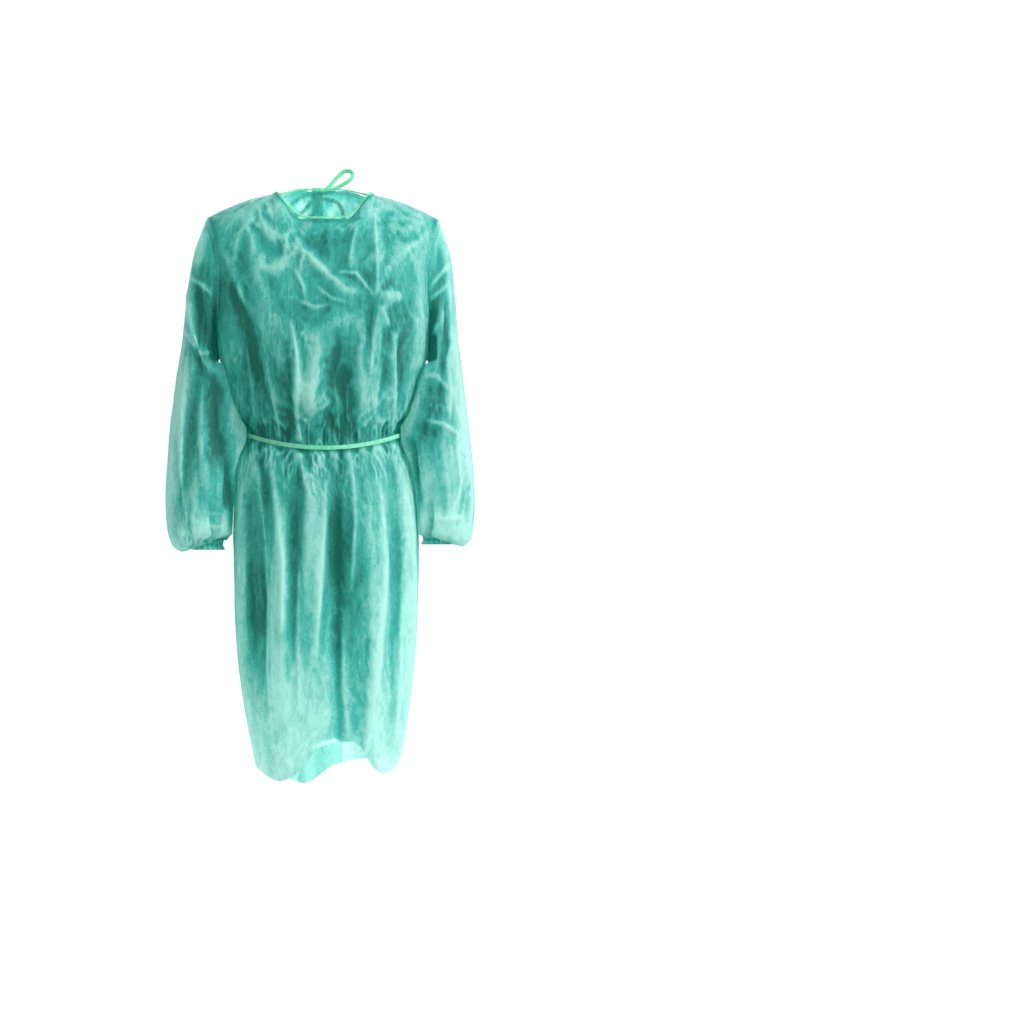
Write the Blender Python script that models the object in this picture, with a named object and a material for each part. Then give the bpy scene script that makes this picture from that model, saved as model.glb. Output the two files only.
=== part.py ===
"""An isolation gown of thin non-woven cloth, standing open and hollow as when it is worn.

It has long sleeves, elastic cuffs, a bound neck and a belt, and both are tied in a bow at the back.
Metres, +Z up. The front faces -Y and the gown's own left is +X. The origin is the middle of the neck opening,
level with the two points where the shoulder seams meet the neckline: the gown hangs from there.
"""

import math

import bpy
import numpy as np
from mathutils import Vector
from mathutils.bvhtree import BVHTree

# The gown's own sides, by the sign of x, and its front and back, by the sign of y
LEFT, RIGHT = 1, -1
FRONT, BACK = -1, 1

# Cloth and seams. NEAR is how close two places count as the same one
WALL = 0.0015
SEAM_GAP = 0.0003
NEAR = 0.001
STRIP_WIDTH = 0.008
STRIP_WALL = 0.0014
LAP_CLEARANCE = 0.0026

# Neck and shoulders
NECK_HALF_WIDTH = 0.100
NECK_FRONT = 0.085
NECK_BACK = 0.070
NECK_SQUARENESS = 0.70
NECK_FLAT_SHARE = 0.42
NECK_FRONT_Z = -0.056
NECK_BACK_Z = 0.017
NECK_SHARE = 3 / 7
SHOULDER_TIP_X = 0.224
SHOULDER_DROP = 0.046
SHOULDER_CURVE = 1.45
SHOULDER_CREST = 0.010
SHOULDER_FOLD_START = 1.6

# Levels down the body
CHEST_Z = -0.170
ARMPIT_Z = -0.320
ARMHOLE_HALF_WIDTH = 0.062
ARMHOLE_POWER = 0.85
WAIST_Z = -0.460
WAIST_DIP_FRONT = 0.034
WAIST_DIP_BACK = 0.008
WAIST_DIP_POWER = 1.3
BELT_GROOVE = 0.0075
BELT_HOLD_REACH = 0.060
SECTION_POWER = 2.3
SECTION_SHARE_STEP = 0.01

# Rows and columns of the cloth grids
SHOULDER_ROWS = 6
ARMHOLE_ROWS = 6
CHEST_ROWS = 4
SKIRT_ROWS = 9
FRONT_COLUMNS = 42
BACK_NECK_COLUMNS = 7
BACK_SIDE_COLUMNS = 10
LAP_COLUMNS = 4
OUTLINE_POINTS = 161
SKIRT_ROW_POWER = 1.15

SECTION_COLUMNS = ("z", "half_width", "front", "back", "middle_x")
BODY_SECTIONS = (
    (-0.170, 0.2220, 0.120, 0.118, 0.000),
    (-0.230, 0.2150, 0.128, 0.122, 0.000),
    (-0.281, 0.2060, 0.130, 0.122, 0.000),
    (-0.320, 0.2000, 0.128, 0.118, 0.000),
    (-0.359, 0.1900, 0.124, 0.112, 0.000),
    (-0.417, 0.1735, 0.114, 0.102, 0.000),
    (-0.460, 0.1530, 0.098, 0.092, 0.001),
    (-0.515, 0.1655, 0.112, 0.116, 0.002),
    (-0.593, 0.1755, 0.130, 0.140, 0.004),
    (-0.710, 0.1795, 0.138, 0.148, 0.006),
    (-0.788, 0.1775, 0.139, 0.148, 0.006),
    (-0.885, 0.1730, 0.138, 0.146, 0.006),
    (-0.963, 0.1645, 0.134, 0.142, 0.007),
    (-1.041, 0.1510, 0.127, 0.136, 0.008),
    (-1.100, 0.1400, 0.121, 0.132, 0.008),
    (-1.180, 0.1340, 0.116, 0.130, 0.008),
)

# The hem's height at each share of the way round from the middle, -1 and 1 at the side seams
HEM_COLUMNS = ("share", "z")
FRONT_HEM = (
    (-1.00, -1.090),
    (-0.72, -1.104),
    (-0.40, -1.126),
    (-0.24, -1.104),
    (-0.08, -1.062),
    (0.10, -1.053),
    (0.27, -1.058),
    (0.38, -1.096),
    (0.50, -1.114),
    (0.66, -1.104),
    (0.84, -1.074),
    (1.00, -1.064),
)
BACK_HEM = (
    (-1.00, -1.090),
    (-0.66, -1.116),
    (-0.34, -1.150),
    (-0.20, -1.158),
    (0.02, -1.126),
    (0.40, -1.106),
    (0.76, -1.098),
    (1.00, -1.064),
)

# Where the free edges of the two back panels run. The left one laps over the right one
FREE_EDGE_COLUMNS = ("z", "left_x", "right_x")
FREE_EDGES = (
    (0.020, -0.012, -0.002),
    (-0.030, -0.017, 0.003),
    (-0.080, -0.027, 0.011),
    (-0.150, -0.034, 0.022),
    (-0.250, -0.020, 0.029),
    (-0.350, -0.028, 0.031),
    (-0.460, -0.046, 0.030),
    (-0.600, -0.040, 0.032),
    (-0.800, -0.034, 0.035),
    (-1.000, -0.044, 0.037),
    (-1.180, -0.056, 0.038),
)
LAP_FADE_START = 0.012
LAP_FADE_X = 0.070

# Long folds: share is the fold's place at its top, drift is how far its foot has moved, and height is
# outwards where it is positive. It is fullest at full_z and gone at top_z and foot_z
FOLD_COLUMNS = ("share", "drift", "width", "height", "top_z", "full_z", "foot_z")
FRONT_FOLDS = (
    (-0.56, 0.06, 0.17, -0.012, -0.10, -0.30, -0.47),
    (-0.27, 0.10, 0.12, 0.011, -0.20, -0.36, -0.47),
    (-0.02, -0.12, 0.12, 0.013, -0.14, -0.38, -0.50),
    (0.18, -0.04, 0.13, -0.011, -0.16, -0.38, -0.49),
    (0.36, 0.05, 0.12, 0.010, -0.02, -0.22, -0.47),
    (0.54, 0.08, 0.12, -0.010, -0.06, -0.24, -0.47),
    (0.72, 0.00, 0.13, 0.008, -0.08, -0.26, -0.46),
    (-0.68, -0.03, 0.12, 0.013, -0.46, -0.82, -1.20),
    (-0.50, 0.02, 0.12, -0.013, -0.46, -0.80, -1.10),
    (-0.34, -0.02, 0.12, 0.016, -0.47, -0.86, -1.30),
    (-0.12, -0.04, 0.12, 0.016, -0.46, -0.66, -1.06),
    (0.06, 0.03, 0.13, -0.018, -0.46, -0.74, -1.30),
    (0.30, 0.10, 0.12, 0.017, -0.46, -0.84, -1.30),
    (0.50, 0.06, 0.12, -0.012, -0.47, -0.76, -1.20),
    (0.70, 0.02, 0.13, 0.012, -0.46, -0.80, -1.26),
)
BACK_FOLDS = (
    (0.66, -0.18, 0.13, 0.012, -0.03, -0.26, -0.48),
    (0.46, -0.16, 0.13, -0.012, -0.05, -0.26, -0.47),
    (0.22, 0.04, 0.13, -0.009, -0.12, -0.34, -0.47),
    (0.04, -0.02, 0.13, 0.010, -0.10, -0.36, -0.48),
    (-0.26, 0.04, 0.13, -0.012, -0.08, -0.30, -0.47),
    (-0.46, 0.10, 0.13, 0.014, -0.04, -0.26, -0.47),
    (-0.68, 0.12, 0.13, -0.011, -0.06, -0.28, -0.46),
    (0.68, 0.02, 0.14, 0.012, -0.46, -0.84, -1.26),
    (0.42, -0.04, 0.14, -0.011, -0.46, -0.70, -1.06),
    (0.10, 0.02, 0.14, -0.012, -0.47, -0.62, -0.96),
    (-0.18, -0.02, 0.12, 0.012, -0.47, -0.86, -1.30),
    (-0.36, 0.00, 0.12, -0.014, -0.47, -0.84, -1.30),
    (-0.52, 0.00, 0.12, 0.013, -0.47, -0.88, -1.30),
    (-0.72, 0.00, 0.13, -0.010, -0.47, -0.78, -1.16),
)
GATHER_DEPTH = 0.0058
GATHER_REACH_UP = 0.050
GATHER_REACH_DOWN = 0.085
GATHER_DRIFT = 0.055
GATHER_DRIFT_TURNS = 5.3
FRONT_GATHERS = 12
BACK_GATHERS = 10
FOLD_STEEPNESS = 1.6

# Folds fade to nothing from SEAM_FADE_START on, over SEAM_FADE_WIDTH, as shares of the way to the side seam
SEAM_FADE_START = 0.80
SEAM_FADE_WIDTH = 0.18

# A sleeve from armhole to cuff. Each ring runs through its outer point and its inner, underarm point
SLEEVE_COLUMNS = ("outer_x", "outer_z", "inner_x", "inner_z", "half_depth", "middle_y", "gather")
SLEEVE_RINGS = (
    (0.2350, -0.076, 0.2035, -0.3230, 0.0615, 0.001, 0.00),
    (0.2480, -0.116, 0.2040, -0.3300, 0.0625, 0.002, 0.00),
    (0.2560, -0.160, 0.2030, -0.3400, 0.0640, 0.003, 0.00),
    (0.2610, -0.208, 0.1990, -0.3540, 0.0660, 0.004, 0.00),
    (0.2650, -0.260, 0.1935, -0.3730, 0.0680, 0.005, 0.00),
    (0.2700, -0.314, 0.1855, -0.3990, 0.0700, 0.005, 0.00),
    (0.2760, -0.366, 0.1745, -0.4290, 0.0710, 0.004, 0.00),
    (0.2820, -0.418, 0.1630, -0.4620, 0.0710, 0.002, 0.00),
    (0.2870, -0.468, 0.1700, -0.5000, 0.0700, 0.000, 0.00),
    (0.2920, -0.516, 0.1790, -0.5400, 0.0690, -0.002, 0.10),
    (0.2960, -0.562, 0.1850, -0.5740, 0.0675, -0.004, 0.20),
    (0.2975, -0.602, 0.1890, -0.6060, 0.0655, -0.006, 0.45),
    (0.2965, -0.636, 0.1905, -0.6310, 0.0620, -0.008, 0.80),
    (0.2930, -0.661, 0.1908, -0.6440, 0.0565, -0.009, 1.00),
    (0.2840, -0.678, 0.1910, -0.6510, 0.0490, -0.010, 0.90),
    (0.2715, -0.685, 0.1912, -0.6570, 0.0425, -0.010, 0.60),
    (0.2600, -0.681, 0.1915, -0.6615, 0.0360, -0.010, 0.20),
    (0.2494, -0.665, 0.1916, -0.6650, 0.0290, -0.010, 0.00),
)
SLEEVE_GATHER_DEPTH = 0.0032
SLEEVE_FOLD_COLUMNS = ("angle", "drift", "width", "height", "top_ring", "full_ring", "foot_ring")
SLEEVE_FOLDS = (
    (58, 40, 32, -0.0120, 0.5, 4.0, 8.5),
    (100, 34, 30, 0.0080, 2.0, 6.0, 10.0),
    (20, 6, 28, 0.0070, 2.0, 9.0, 15.0),
    (56, 10, 30, -0.0095, 6.5, 10.5, 15.0),
    (122, 10, 30, -0.0080, 7.5, 11.0, 15.0),
    (152, -20, 28, 0.0050, 6.0, 10.0, 14.0),
    (210, 24, 28, 0.0050, 6.0, 10.0, 14.0),
    (240, -10, 30, -0.0095, 5.0, 10.0, 15.0),
    (302, -46, 32, -0.0120, 0.5, 4.0, 8.5),
    (264, -34, 30, 0.0080, 2.0, 6.0, 10.0),
    (336, -6, 28, 0.0070, 2.0, 9.0, 15.0),
    (300, -6, 28, -0.0080, 8.0, 11.0, 15.0),
)

# The sleeves don't hang alike: how much wider, closer to the body and lower each one hangs
SLEEVE_WIDER = {LEFT: -0.006, RIGHT: 0.006}
SLEEVE_CLOSER = {LEFT: 0.000, RIGHT: 0.004}
SLEEVE_LOWER = {LEFT: -0.004, RIGHT: 0.006}
ARMHOLE_KEEP_RINGS = 6

# Elastic cuffs
CUFF_MIDDLE_X = 0.2205
CUFF_MIDDLE_Y = -0.010
CUFF_TOP_Z = -0.6657
CUFF_HEIGHT = 0.0170
CUFF_RADIUS = 0.0275
CUFF_WAVES = 16
CUFF_POINTS_PER_WAVE = 3
CUFF_ROWS = (0.0, 0.35, 0.70, 1.0)
CUFF_WAVE_TOP = 0.00081
CUFF_WAVE_GROWTH = 0.00135
CUFF_FLARE = 0.0020
CUFF_PINCH = 0.0012

# Neck binding and belt
BINDING_HEIGHT = 0.0065
BINDING_GAP = 0.0008
BINDING_LIP = 0.0005
BINDING_PROFILE = (
    (0.00, BINDING_LIP),
    (0.75, BINDING_LIP),
    (1.00, -WALL / 2),
    (0.75, -WALL - BINDING_LIP),
    (0.00, -WALL - BINDING_LIP),
)
BELT_CLEARANCE = 0.0006
BELT_BACK_STEPS = 18
BELT_LEFT_END_X = 0.006
BELT_RIGHT_END_X = -0.016

# Bows at the back. A path's x and z are its place, and lift is how far it stands off the cloth below it
KNOT_SEGMENTS = 12
KNOT_START = 0.030
KNOT_RINGS = 8
KNOT_WAIST = 0.10
PATH_STEP = 0.007
TOUCH_GAP = 0.00035
TOUCH_STEP = 0.0001
SEAT_BACK = 0.006
SEAT_ON = 0.008
TIE_TOP_Z = 0.012
TIE_FACING = (0.0, 1.0, 0.25)
PATH_COLUMNS = ("x", "z", "lift")
BELT_KNOT = (-0.0050, -0.4680)
BELT_KNOT_SIZE = (0.0080, 0.0056, 0.0075)
BELT_LOOP_LEFT = (
    (0.0040, -0.4610, 0.0110),
    (0.0200, -0.4530, 0.0125),
    (0.0380, -0.4500, 0.0120),
    (0.0600, -0.4520, 0.0100),
    (0.0760, -0.4620, 0.0085),
    (0.0800, -0.4760, 0.0075),
    (0.0720, -0.4890, 0.0065),
    (0.0580, -0.4900, 0.0065),
    (0.0440, -0.4840, 0.0075),
    (0.0260, -0.4775, 0.0082),
    (0.0060, -0.4730, 0.0072),
)
BELT_LOOP_RIGHT = (
    (-0.0150, -0.4650, 0.0100),
    (-0.0380, -0.4600, 0.0120),
    (-0.0620, -0.4590, 0.0110),
    (-0.0800, -0.4650, 0.0095),
    (-0.0870, -0.4800, 0.0075),
    (-0.0760, -0.4950, 0.0065),
    (-0.0590, -0.5030, 0.0060),
    (-0.0430, -0.4980, 0.0065),
    (-0.0300, -0.4820, 0.0065),
    (-0.0160, -0.4710, 0.0050),
)
BELT_TAIL_LEFT = (
    (-0.0020, -0.4790, 0.0080),
    (0.0080, -0.4960, 0.0062),
    (0.0200, -0.5320, 0.0027),
    (0.0250, -0.5620, 0.0025),
    (0.0240, -0.6020, 0.0025),
    (0.0190, -0.6570, 0.0025),
    (0.0150, -0.6980, 0.0025),
    (0.0060, -0.7380, 0.0025),
    (-0.0010, -0.7590, 0.0025),
)
BELT_TAIL_RIGHT = (
    (-0.0085, -0.4785, 0.0044),
    (-0.0190, -0.5120, 0.0026),
    (-0.0390, -0.5500, 0.0025),
    (-0.0480, -0.5890, 0.0025),
    (-0.0600, -0.6260, 0.0025),
    (-0.0620, -0.6440, 0.0025),
    (-0.0550, -0.6600, 0.0025),
    (-0.0440, -0.6760, 0.0025),
    (-0.0260, -0.6860, 0.0025),
)
NECK_KNOT = (-0.0085, 0.0130)
NECK_KNOT_SIZE = (0.0072, 0.0056, 0.0068)
NECK_LOOP_LEFT = (
    (0.0000, 0.0170, 0.0105),
    (0.0130, 0.0290, 0.0110),
    (0.0300, 0.0480, 0.0100),
    (0.0440, 0.0580, 0.0090),
    (0.0560, 0.0550, 0.0070),
    (0.0560, 0.0440, 0.0050),
    (0.0440, 0.0340, 0.0045),
    (0.0280, 0.0250, 0.0048),
    (0.0120, 0.0180, 0.0052),
    (0.0000, 0.0140, 0.0055),
)
NECK_LOOP_RIGHT = (
    (-0.0175, 0.0150, 0.0115),
    (-0.0380, 0.0100, 0.0120),
    (-0.0570, -0.0020, 0.0085),
    (-0.0700, -0.0130, 0.0065),
    (-0.0710, -0.0240, 0.0050),
    (-0.0610, -0.0300, 0.0042),
    (-0.0480, -0.0270, 0.0040),
    (-0.0350, -0.0160, 0.0042),
    (-0.0250, -0.0010, 0.0045),
    (-0.0170, 0.0080, 0.0042),
)
NECK_TAIL_LEFT = (
    (-0.0020, 0.0050, 0.0095),
    (0.0120, 0.0020, 0.0070),
    (0.0260, -0.0030, 0.0042),
    (0.0350, -0.0140, 0.0030),
    (0.0400, -0.0330, 0.0025),
    (0.0450, -0.0560, 0.0025),
    (0.0480, -0.0780, 0.0025),
)
NECK_TAIL_RIGHT = (
    (-0.0090, 0.0010, 0.0032),
    (-0.0150, -0.0160, 0.0026),
    (-0.0290, -0.0330, 0.0025),
    (-0.0380, -0.0480, 0.0025),
    (-0.0450, -0.0740, 0.0025),
    (-0.0450, -0.1040, 0.0025),
    (-0.0420, -0.1380, 0.0025),
)

# Seen colours: name, then linear red, green and blue, and roughness
CLOTH = ("nonwoven_cloth", (0.16, 0.52, 0.43), 0.62)
BINDING = ("binding_strip", (0.28, 0.70, 0.55), 0.60)



def column(table, names, name):
    """One named column of a table, as numbers."""
    return np.array([row[names.index(name)] for row in table], float)


def smooth(at, known, values):
    """A smooth curve through the known values, read at one place or many. Known rises."""
    at = np.clip(at, known[0], known[-1])
    slopes = np.gradient(values, known)
    i = np.clip(np.searchsorted(known, at) - 1, 0, len(known) - 2)
    step = known[i + 1] - known[i]
    t = (at - known[i]) / step
    rise = (1 + 2 * t) * (1 - t) ** 2 * values[i] + t**2 * (3 - 2 * t) * values[i + 1]
    return rise + t * (1 - t) ** 2 * step * slopes[i] - t**2 * (1 - t) * step * slopes[i + 1]


def read(table, names, at_name, name, at):
    """The named column of a table where another column has the value at."""
    known = column(table, names, at_name)
    values = column(table, names, name)
    order = np.argsort(known)
    return smooth(at, known[order], values[order])


def ease(t):
    """0 below 0, 1 above 1, and smooth between."""
    t = np.clip(t, 0.0, 1.0)
    return t * t * (3 - 2 * t)


def unit(vectors):
    """The vectors made one long."""
    return vectors / np.maximum(np.linalg.norm(vectors, axis=-1, keepdims=True), 1e-12)


def fold_height(folds, share, z):
    """How far the cloth stands out at a share of the way round and a height, over all the folds."""
    total = 0.0
    for fold in folds:
        centre, drift, width, height, top, full, foot = fold
        if not foot < z < top:
            continue
        down = (top - z) / (top - foot)
        swell = (top - z) / (top - full) if z > full else (z - foot) / (full - foot)
        across = (share - centre - drift * down) / width
        total += height * ease(swell) / math.cosh(FOLD_STEEPNESS * across) ** 2
    return total


def waist_z(share, side):
    """The belt's height, lowest at the middle of the front."""
    dip = WAIST_DIP_FRONT if side == FRONT else WAIST_DIP_BACK
    return WAIST_Z - dip * math.cos(share * math.pi / 2) ** WAIST_DIP_POWER


def gather_height(share, z, side):
    """Small pleats at the belt, all inwards there, fading out above and below it."""
    count = FRONT_GATHERS if side == FRONT else BACK_GATHERS
    above = z - waist_z(share, side)
    reach = GATHER_REACH_UP if above > 0 else GATHER_REACH_DOWN
    fade = 1 - ease(max(abs(above) - BELT_GROOVE, 0.0) / reach)
    drift = GATHER_DRIFT * math.sin(GATHER_DRIFT_TURNS * share + side)
    wave = math.sin(math.pi * count * (share + drift))
    at_belt = GATHER_DEPTH * (wave - 1) / 2
    return fade * (at_belt + (1 - fade) * GATHER_DEPTH / 2)


def half_outline(z, side):
    """Points round half a level section, from the -X edge to the +X edge, and their shares of its length.

    Above the armpit the cloth stops at the armhole: reach is the share of the half section that is left.
    """
    width = read(BODY_SECTIONS, SECTION_COLUMNS, "z", "half_width", z)
    depth = read(BODY_SECTIONS, SECTION_COLUMNS, "z", "front" if side == FRONT else "back", z)
    angle = np.linspace(0, math.pi, OUTLINE_POINTS)
    middle = read(BODY_SECTIONS, SECTION_COLUMNS, "z", "middle_x", z)
    x = middle - width * np.sign(np.cos(angle)) * np.abs(np.cos(angle)) ** (2 / SECTION_POWER)
    y = side * depth * np.abs(np.sin(angle)) ** (2 / SECTION_POWER)
    y[[0, -1]] = 0.0
    run = np.concatenate([[0], np.cumsum(np.hypot(np.diff(x), np.diff(y)))])
    shares = 2 * run / run[-1] - 1
    reach = 1.0
    if z > ARMPIT_Z:
        sunk = max(min((CHEST_Z - z) / (CHEST_Z - ARMPIT_Z), 1.0), 0.0)
        half = OUTLINE_POINTS // 2
        edge = ARMHOLE_HALF_WIDTH * max(math.cos(sunk * math.pi / 2), 0.0) ** ARMHOLE_POWER
        reach = -float(np.interp(edge, np.abs(y[:half]), shares[:half]))
    return x, y, shares, reach


def section_point(z, share, side):
    """The place on the section at a panel's share, the level direction out of it, and the half section's share."""
    x, y, shares, reach = half_outline(z, side)
    at = share * reach
    place = np.array([np.interp(at, shares, x), np.interp(at, shares, y)])
    ends = at + np.array([-SECTION_SHARE_STEP, SECTION_SHARE_STEP])
    along = unit(np.array([np.diff(np.interp(ends, shares, x))[0], np.diff(np.interp(ends, shares, y))[0]]))
    return place, side * np.array([-along[1], along[0]]), at


def share_at_x(z, x, side):
    """The share of the way round at which the section has this x."""
    outline_x, _, shares, reach = half_outline(min(z, CHEST_Z), side)
    return float(np.interp(x, outline_x, shares)) / reach


def tuck_under(grid, normals):
    """Moves the under panel in, clear of the upper one where they lap, and by less and less beyond that."""
    upper_edge = read(FREE_EDGES, FREE_EDGE_COLUMNS, "z", "left_x", grid[..., 2])
    beyond = ease((upper_edge - LAP_FADE_START - grid[..., 0]) / LAP_FADE_X)
    return grid - normals * (WALL + LAP_CLEARANCE) * (1 - beyond)[..., None]


def seam_fade(share):
    """1 over most of a panel and 0 at its side seams, so that folds leave the seams where they are."""
    return 1 - ease((abs(share) - SEAM_FADE_START) / SEAM_FADE_WIDTH)


def body_point(z, share, side):
    """A point of the cloth at a level below the chest line."""
    place, out, at = section_point(z, share, side)
    folds = FRONT_FOLDS if side == FRONT else BACK_FOLDS
    height = seam_fade(share) * fold_height(folds, at, z) * belt_hold(z, share, side)
    height += seam_fade(share) * gather_height(share, z, side)
    return np.array([*(place + out * height), z])


def belt_hold(z, share, side):
    """0 at the belt, which flattens the long folds, and 1 away from it."""
    return ease((abs(z - waist_z(share, side)) - BELT_GROOVE) / BELT_HOLD_REACH)


def neck_edge(share, side):
    """x and y of the neckline at a share inside the shoulder seams."""
    turn = share / NECK_SHARE * math.pi / 2
    depth = NECK_FRONT if side == FRONT else NECK_BACK
    across = NECK_HALF_WIDTH * math.sin(turn)
    return across, side * depth * max(math.cos(turn), 0.0) ** NECK_SQUARENESS


def shoulder_point(down, share, side):
    """A point of the cloth over the shoulder: down is 0 at the seam or neckline and 1 at the chest line."""
    place, out, at = section_point(CHEST_Z, share, side)
    outside = max(abs(share) - NECK_SHARE, 0.0) / (1 - NECK_SHARE)
    ridge_z = -SHOULDER_DROP * outside**SHOULDER_CURVE
    start, lift = 0.0, 0.0
    top_x = math.copysign(NECK_HALF_WIDTH + (SHOULDER_TIP_X - NECK_HALF_WIDTH) * outside, share)
    if abs(share) < NECK_SHARE:
        top_x, top_y = neck_edge(share, side)
        start = math.asin(min(abs(top_y / place[1]), 1.0))
        edge_z = NECK_FRONT_Z if side == FRONT else NECK_BACK_Z
        flat = 1 - ease((abs(top_x) / NECK_HALF_WIDTH - NECK_FLAT_SHARE) / (1 - NECK_FLAT_SHARE))
        lift = edge_z * flat - CHEST_Z * (1 - math.cos(start))
    angle = start + (math.pi / 2 - start) * down
    z = ridge_z - (ridge_z - CHEST_Z) * (1 - math.cos(angle)) + lift * (1 - down) ** 2
    x = top_x + (place[0] - top_x) * ease(down)
    folds = FRONT_FOLDS if side == FRONT else BACK_FOLDS
    height = seam_fade(share) * fold_height(folds, at, z) * ease(down * SHOULDER_FOLD_START)
    return np.array([x + out[0] * height, place[1] * math.sin(angle) + out[1] * height, z])


def level_z(row, share, side):
    """A body row's height. Two rows lie just above and below the belt, so that it sits in a groove."""
    waist = waist_z(share, side)
    if row <= ARMHOLE_ROWS:
        return CHEST_Z - (CHEST_Z - ARMPIT_Z) * row / ARMHOLE_ROWS
    row -= ARMHOLE_ROWS
    if row <= CHEST_ROWS:
        return ARMPIT_Z + (waist + BELT_GROOVE - ARMPIT_Z) * row / CHEST_ROWS
    row -= CHEST_ROWS + 1
    hem = read(FRONT_HEM if side == FRONT else BACK_HEM, HEM_COLUMNS, "share", "z", share)
    down = (row / SKIRT_ROWS) ** SKIRT_ROW_POWER
    return waist - BELT_GROOVE + (hem - waist + BELT_GROOVE) * down


BODY_ROWS = ARMHOLE_ROWS + CHEST_ROWS + 1 + SKIRT_ROWS


def panel_shares(side, panel, z):
    """The shares of a panel's columns at a height: side seam to side seam, or free edge to side seam."""
    if side == FRONT:
        return np.linspace(-1, 1, FRONT_COLUMNS + 1)
    upper = share_at_x(z, read(FREE_EDGES, FREE_EDGE_COLUMNS, "z", "left_x", z), BACK)
    under = share_at_x(z, read(FREE_EDGES, FREE_EDGE_COLUMNS, "z", "right_x", z), BACK)
    lap = np.linspace(upper, under, LAP_COLUMNS + 1)
    if panel == LEFT:
        neck = np.linspace(under, NECK_SHARE, BACK_NECK_COLUMNS + 1)[1:]
        return np.concatenate([lap, neck, np.linspace(NECK_SHARE, 1, BACK_SIDE_COLUMNS + 1)[1:]])
    neck = np.linspace(-NECK_SHARE, upper, BACK_NECK_COLUMNS + 1)[:-1]
    return np.concatenate([np.linspace(-1, -NECK_SHARE, BACK_SIDE_COLUMNS + 1)[:-1], neck, lap])


def panel_grid(side, panel=0):
    """A body panel's outer points, as rows from the shoulder seam to the hem."""
    rows = []
    for i in range(SHOULDER_ROWS):
        down = i / SHOULDER_ROWS
        z = CHEST_Z * (1 - math.cos(down * math.pi / 2)) + SHOULDER_CREST * (1 - down)
        rows.append([shoulder_point(down, s, side) for s in panel_shares(side, panel, z)])
    for i in range(BODY_ROWS + 1):
        shares = panel_shares(side, panel, level_z(i, 0.0, side))
        rows.append([body_point(level_z(i, s, side), s, side) for s in shares])
    return np.array(rows)


def grid_normals(grid, round_it=False):
    """The direction out of the cloth at each point of a grid."""
    if round_it:
        across = np.roll(grid, -1, axis=1) - np.roll(grid, 1, axis=1)
    else:
        across = np.gradient(grid, axis=1)
    down = np.gradient(grid, axis=0)
    return unit(np.cross(down, across))


def sleeve_fold_height(angle, ring):
    """How far the sleeve stands out at an angle round it, in degrees from its outer line by way of the front."""
    total = 0.0
    for centre, drift, width, height, top, full, foot in SLEEVE_FOLDS:
        if not top < ring < foot:
            continue
        swell = (ring - top) / (full - top) if ring < full else (foot - ring) / (foot - full)
        middle = centre + drift * (ring - top) / (foot - top)
        away = (angle - middle + 180) % 360 - 180
        total += height * ease(swell) / math.cosh(FOLD_STEEPNESS * away / width) ** 2
    return total


def sleeve_ring(ring, angles, hand):
    """One ring of a sleeve, through its outer and its underarm point."""
    outer_x, outer_z, inner_x, inner_z, half_depth, middle_y, gather = SLEEVE_RINGS[ring]
    down = (ring + 1) / len(SLEEVE_RINGS)
    outer_x += SLEEVE_WIDER[hand] * math.sin(math.pi * down)
    inner_x -= SLEEVE_CLOSER[hand] * math.sin(math.pi * down)
    lower = SLEEVE_LOWER[hand] * ease(down)
    outer = np.array([outer_x, middle_y, outer_z - lower])
    inner = np.array([inner_x, middle_y, inner_z - lower])
    middle, half = (outer + inner) / 2, (outer - inner) / 2
    points = []
    for k, angle in enumerate(angles):
        turn = math.radians(angle)
        forward = np.array([0, -math.sin(turn), 0])
        out = unit(unit(half) * math.cos(turn) + forward)
        height = sleeve_fold_height(angle, ring + 1)
        if k % 2:
            height -= SLEEVE_GATHER_DEPTH * gather
        point = middle + half * math.cos(turn) + half_depth * forward
        points.append((point + out * height) * np.array([hand, 1, 1]))
    return points


def sleeve_grid(armhole, angles, hand):
    """A sleeve's outer points: the armhole's own points, then rings that leave its shape slowly."""
    top, pit = armhole[0], armhole[len(armhole) // 2]
    middle, half = (top + pit) / 2, (top - pit) / 2
    rows = [list(armhole)]
    for ring in range(len(SLEEVE_RINGS)):
        keep = (1 - ease((ring + 1) / ARMHOLE_KEEP_RINGS)) ** 2
        points = []
        for angle, start, point in zip(angles, armhole, sleeve_ring(ring, angles, hand), strict=True):
            turn = math.radians(angle)
            forward = np.array([0, -math.sin(turn), 0])
            oval = middle + half * math.cos(turn) + ARMHOLE_HALF_WIDTH * forward
            points.append(point + keep * (start - oval))
        rows.append(points)
    return np.array(rows)


def flatten_y(normals):
    """The directions with no part along Y, for points of a seam that lies in the plane Y = 0."""
    normals = normals.copy()
    normals[..., 1] = 0
    return unit(normals)


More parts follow.
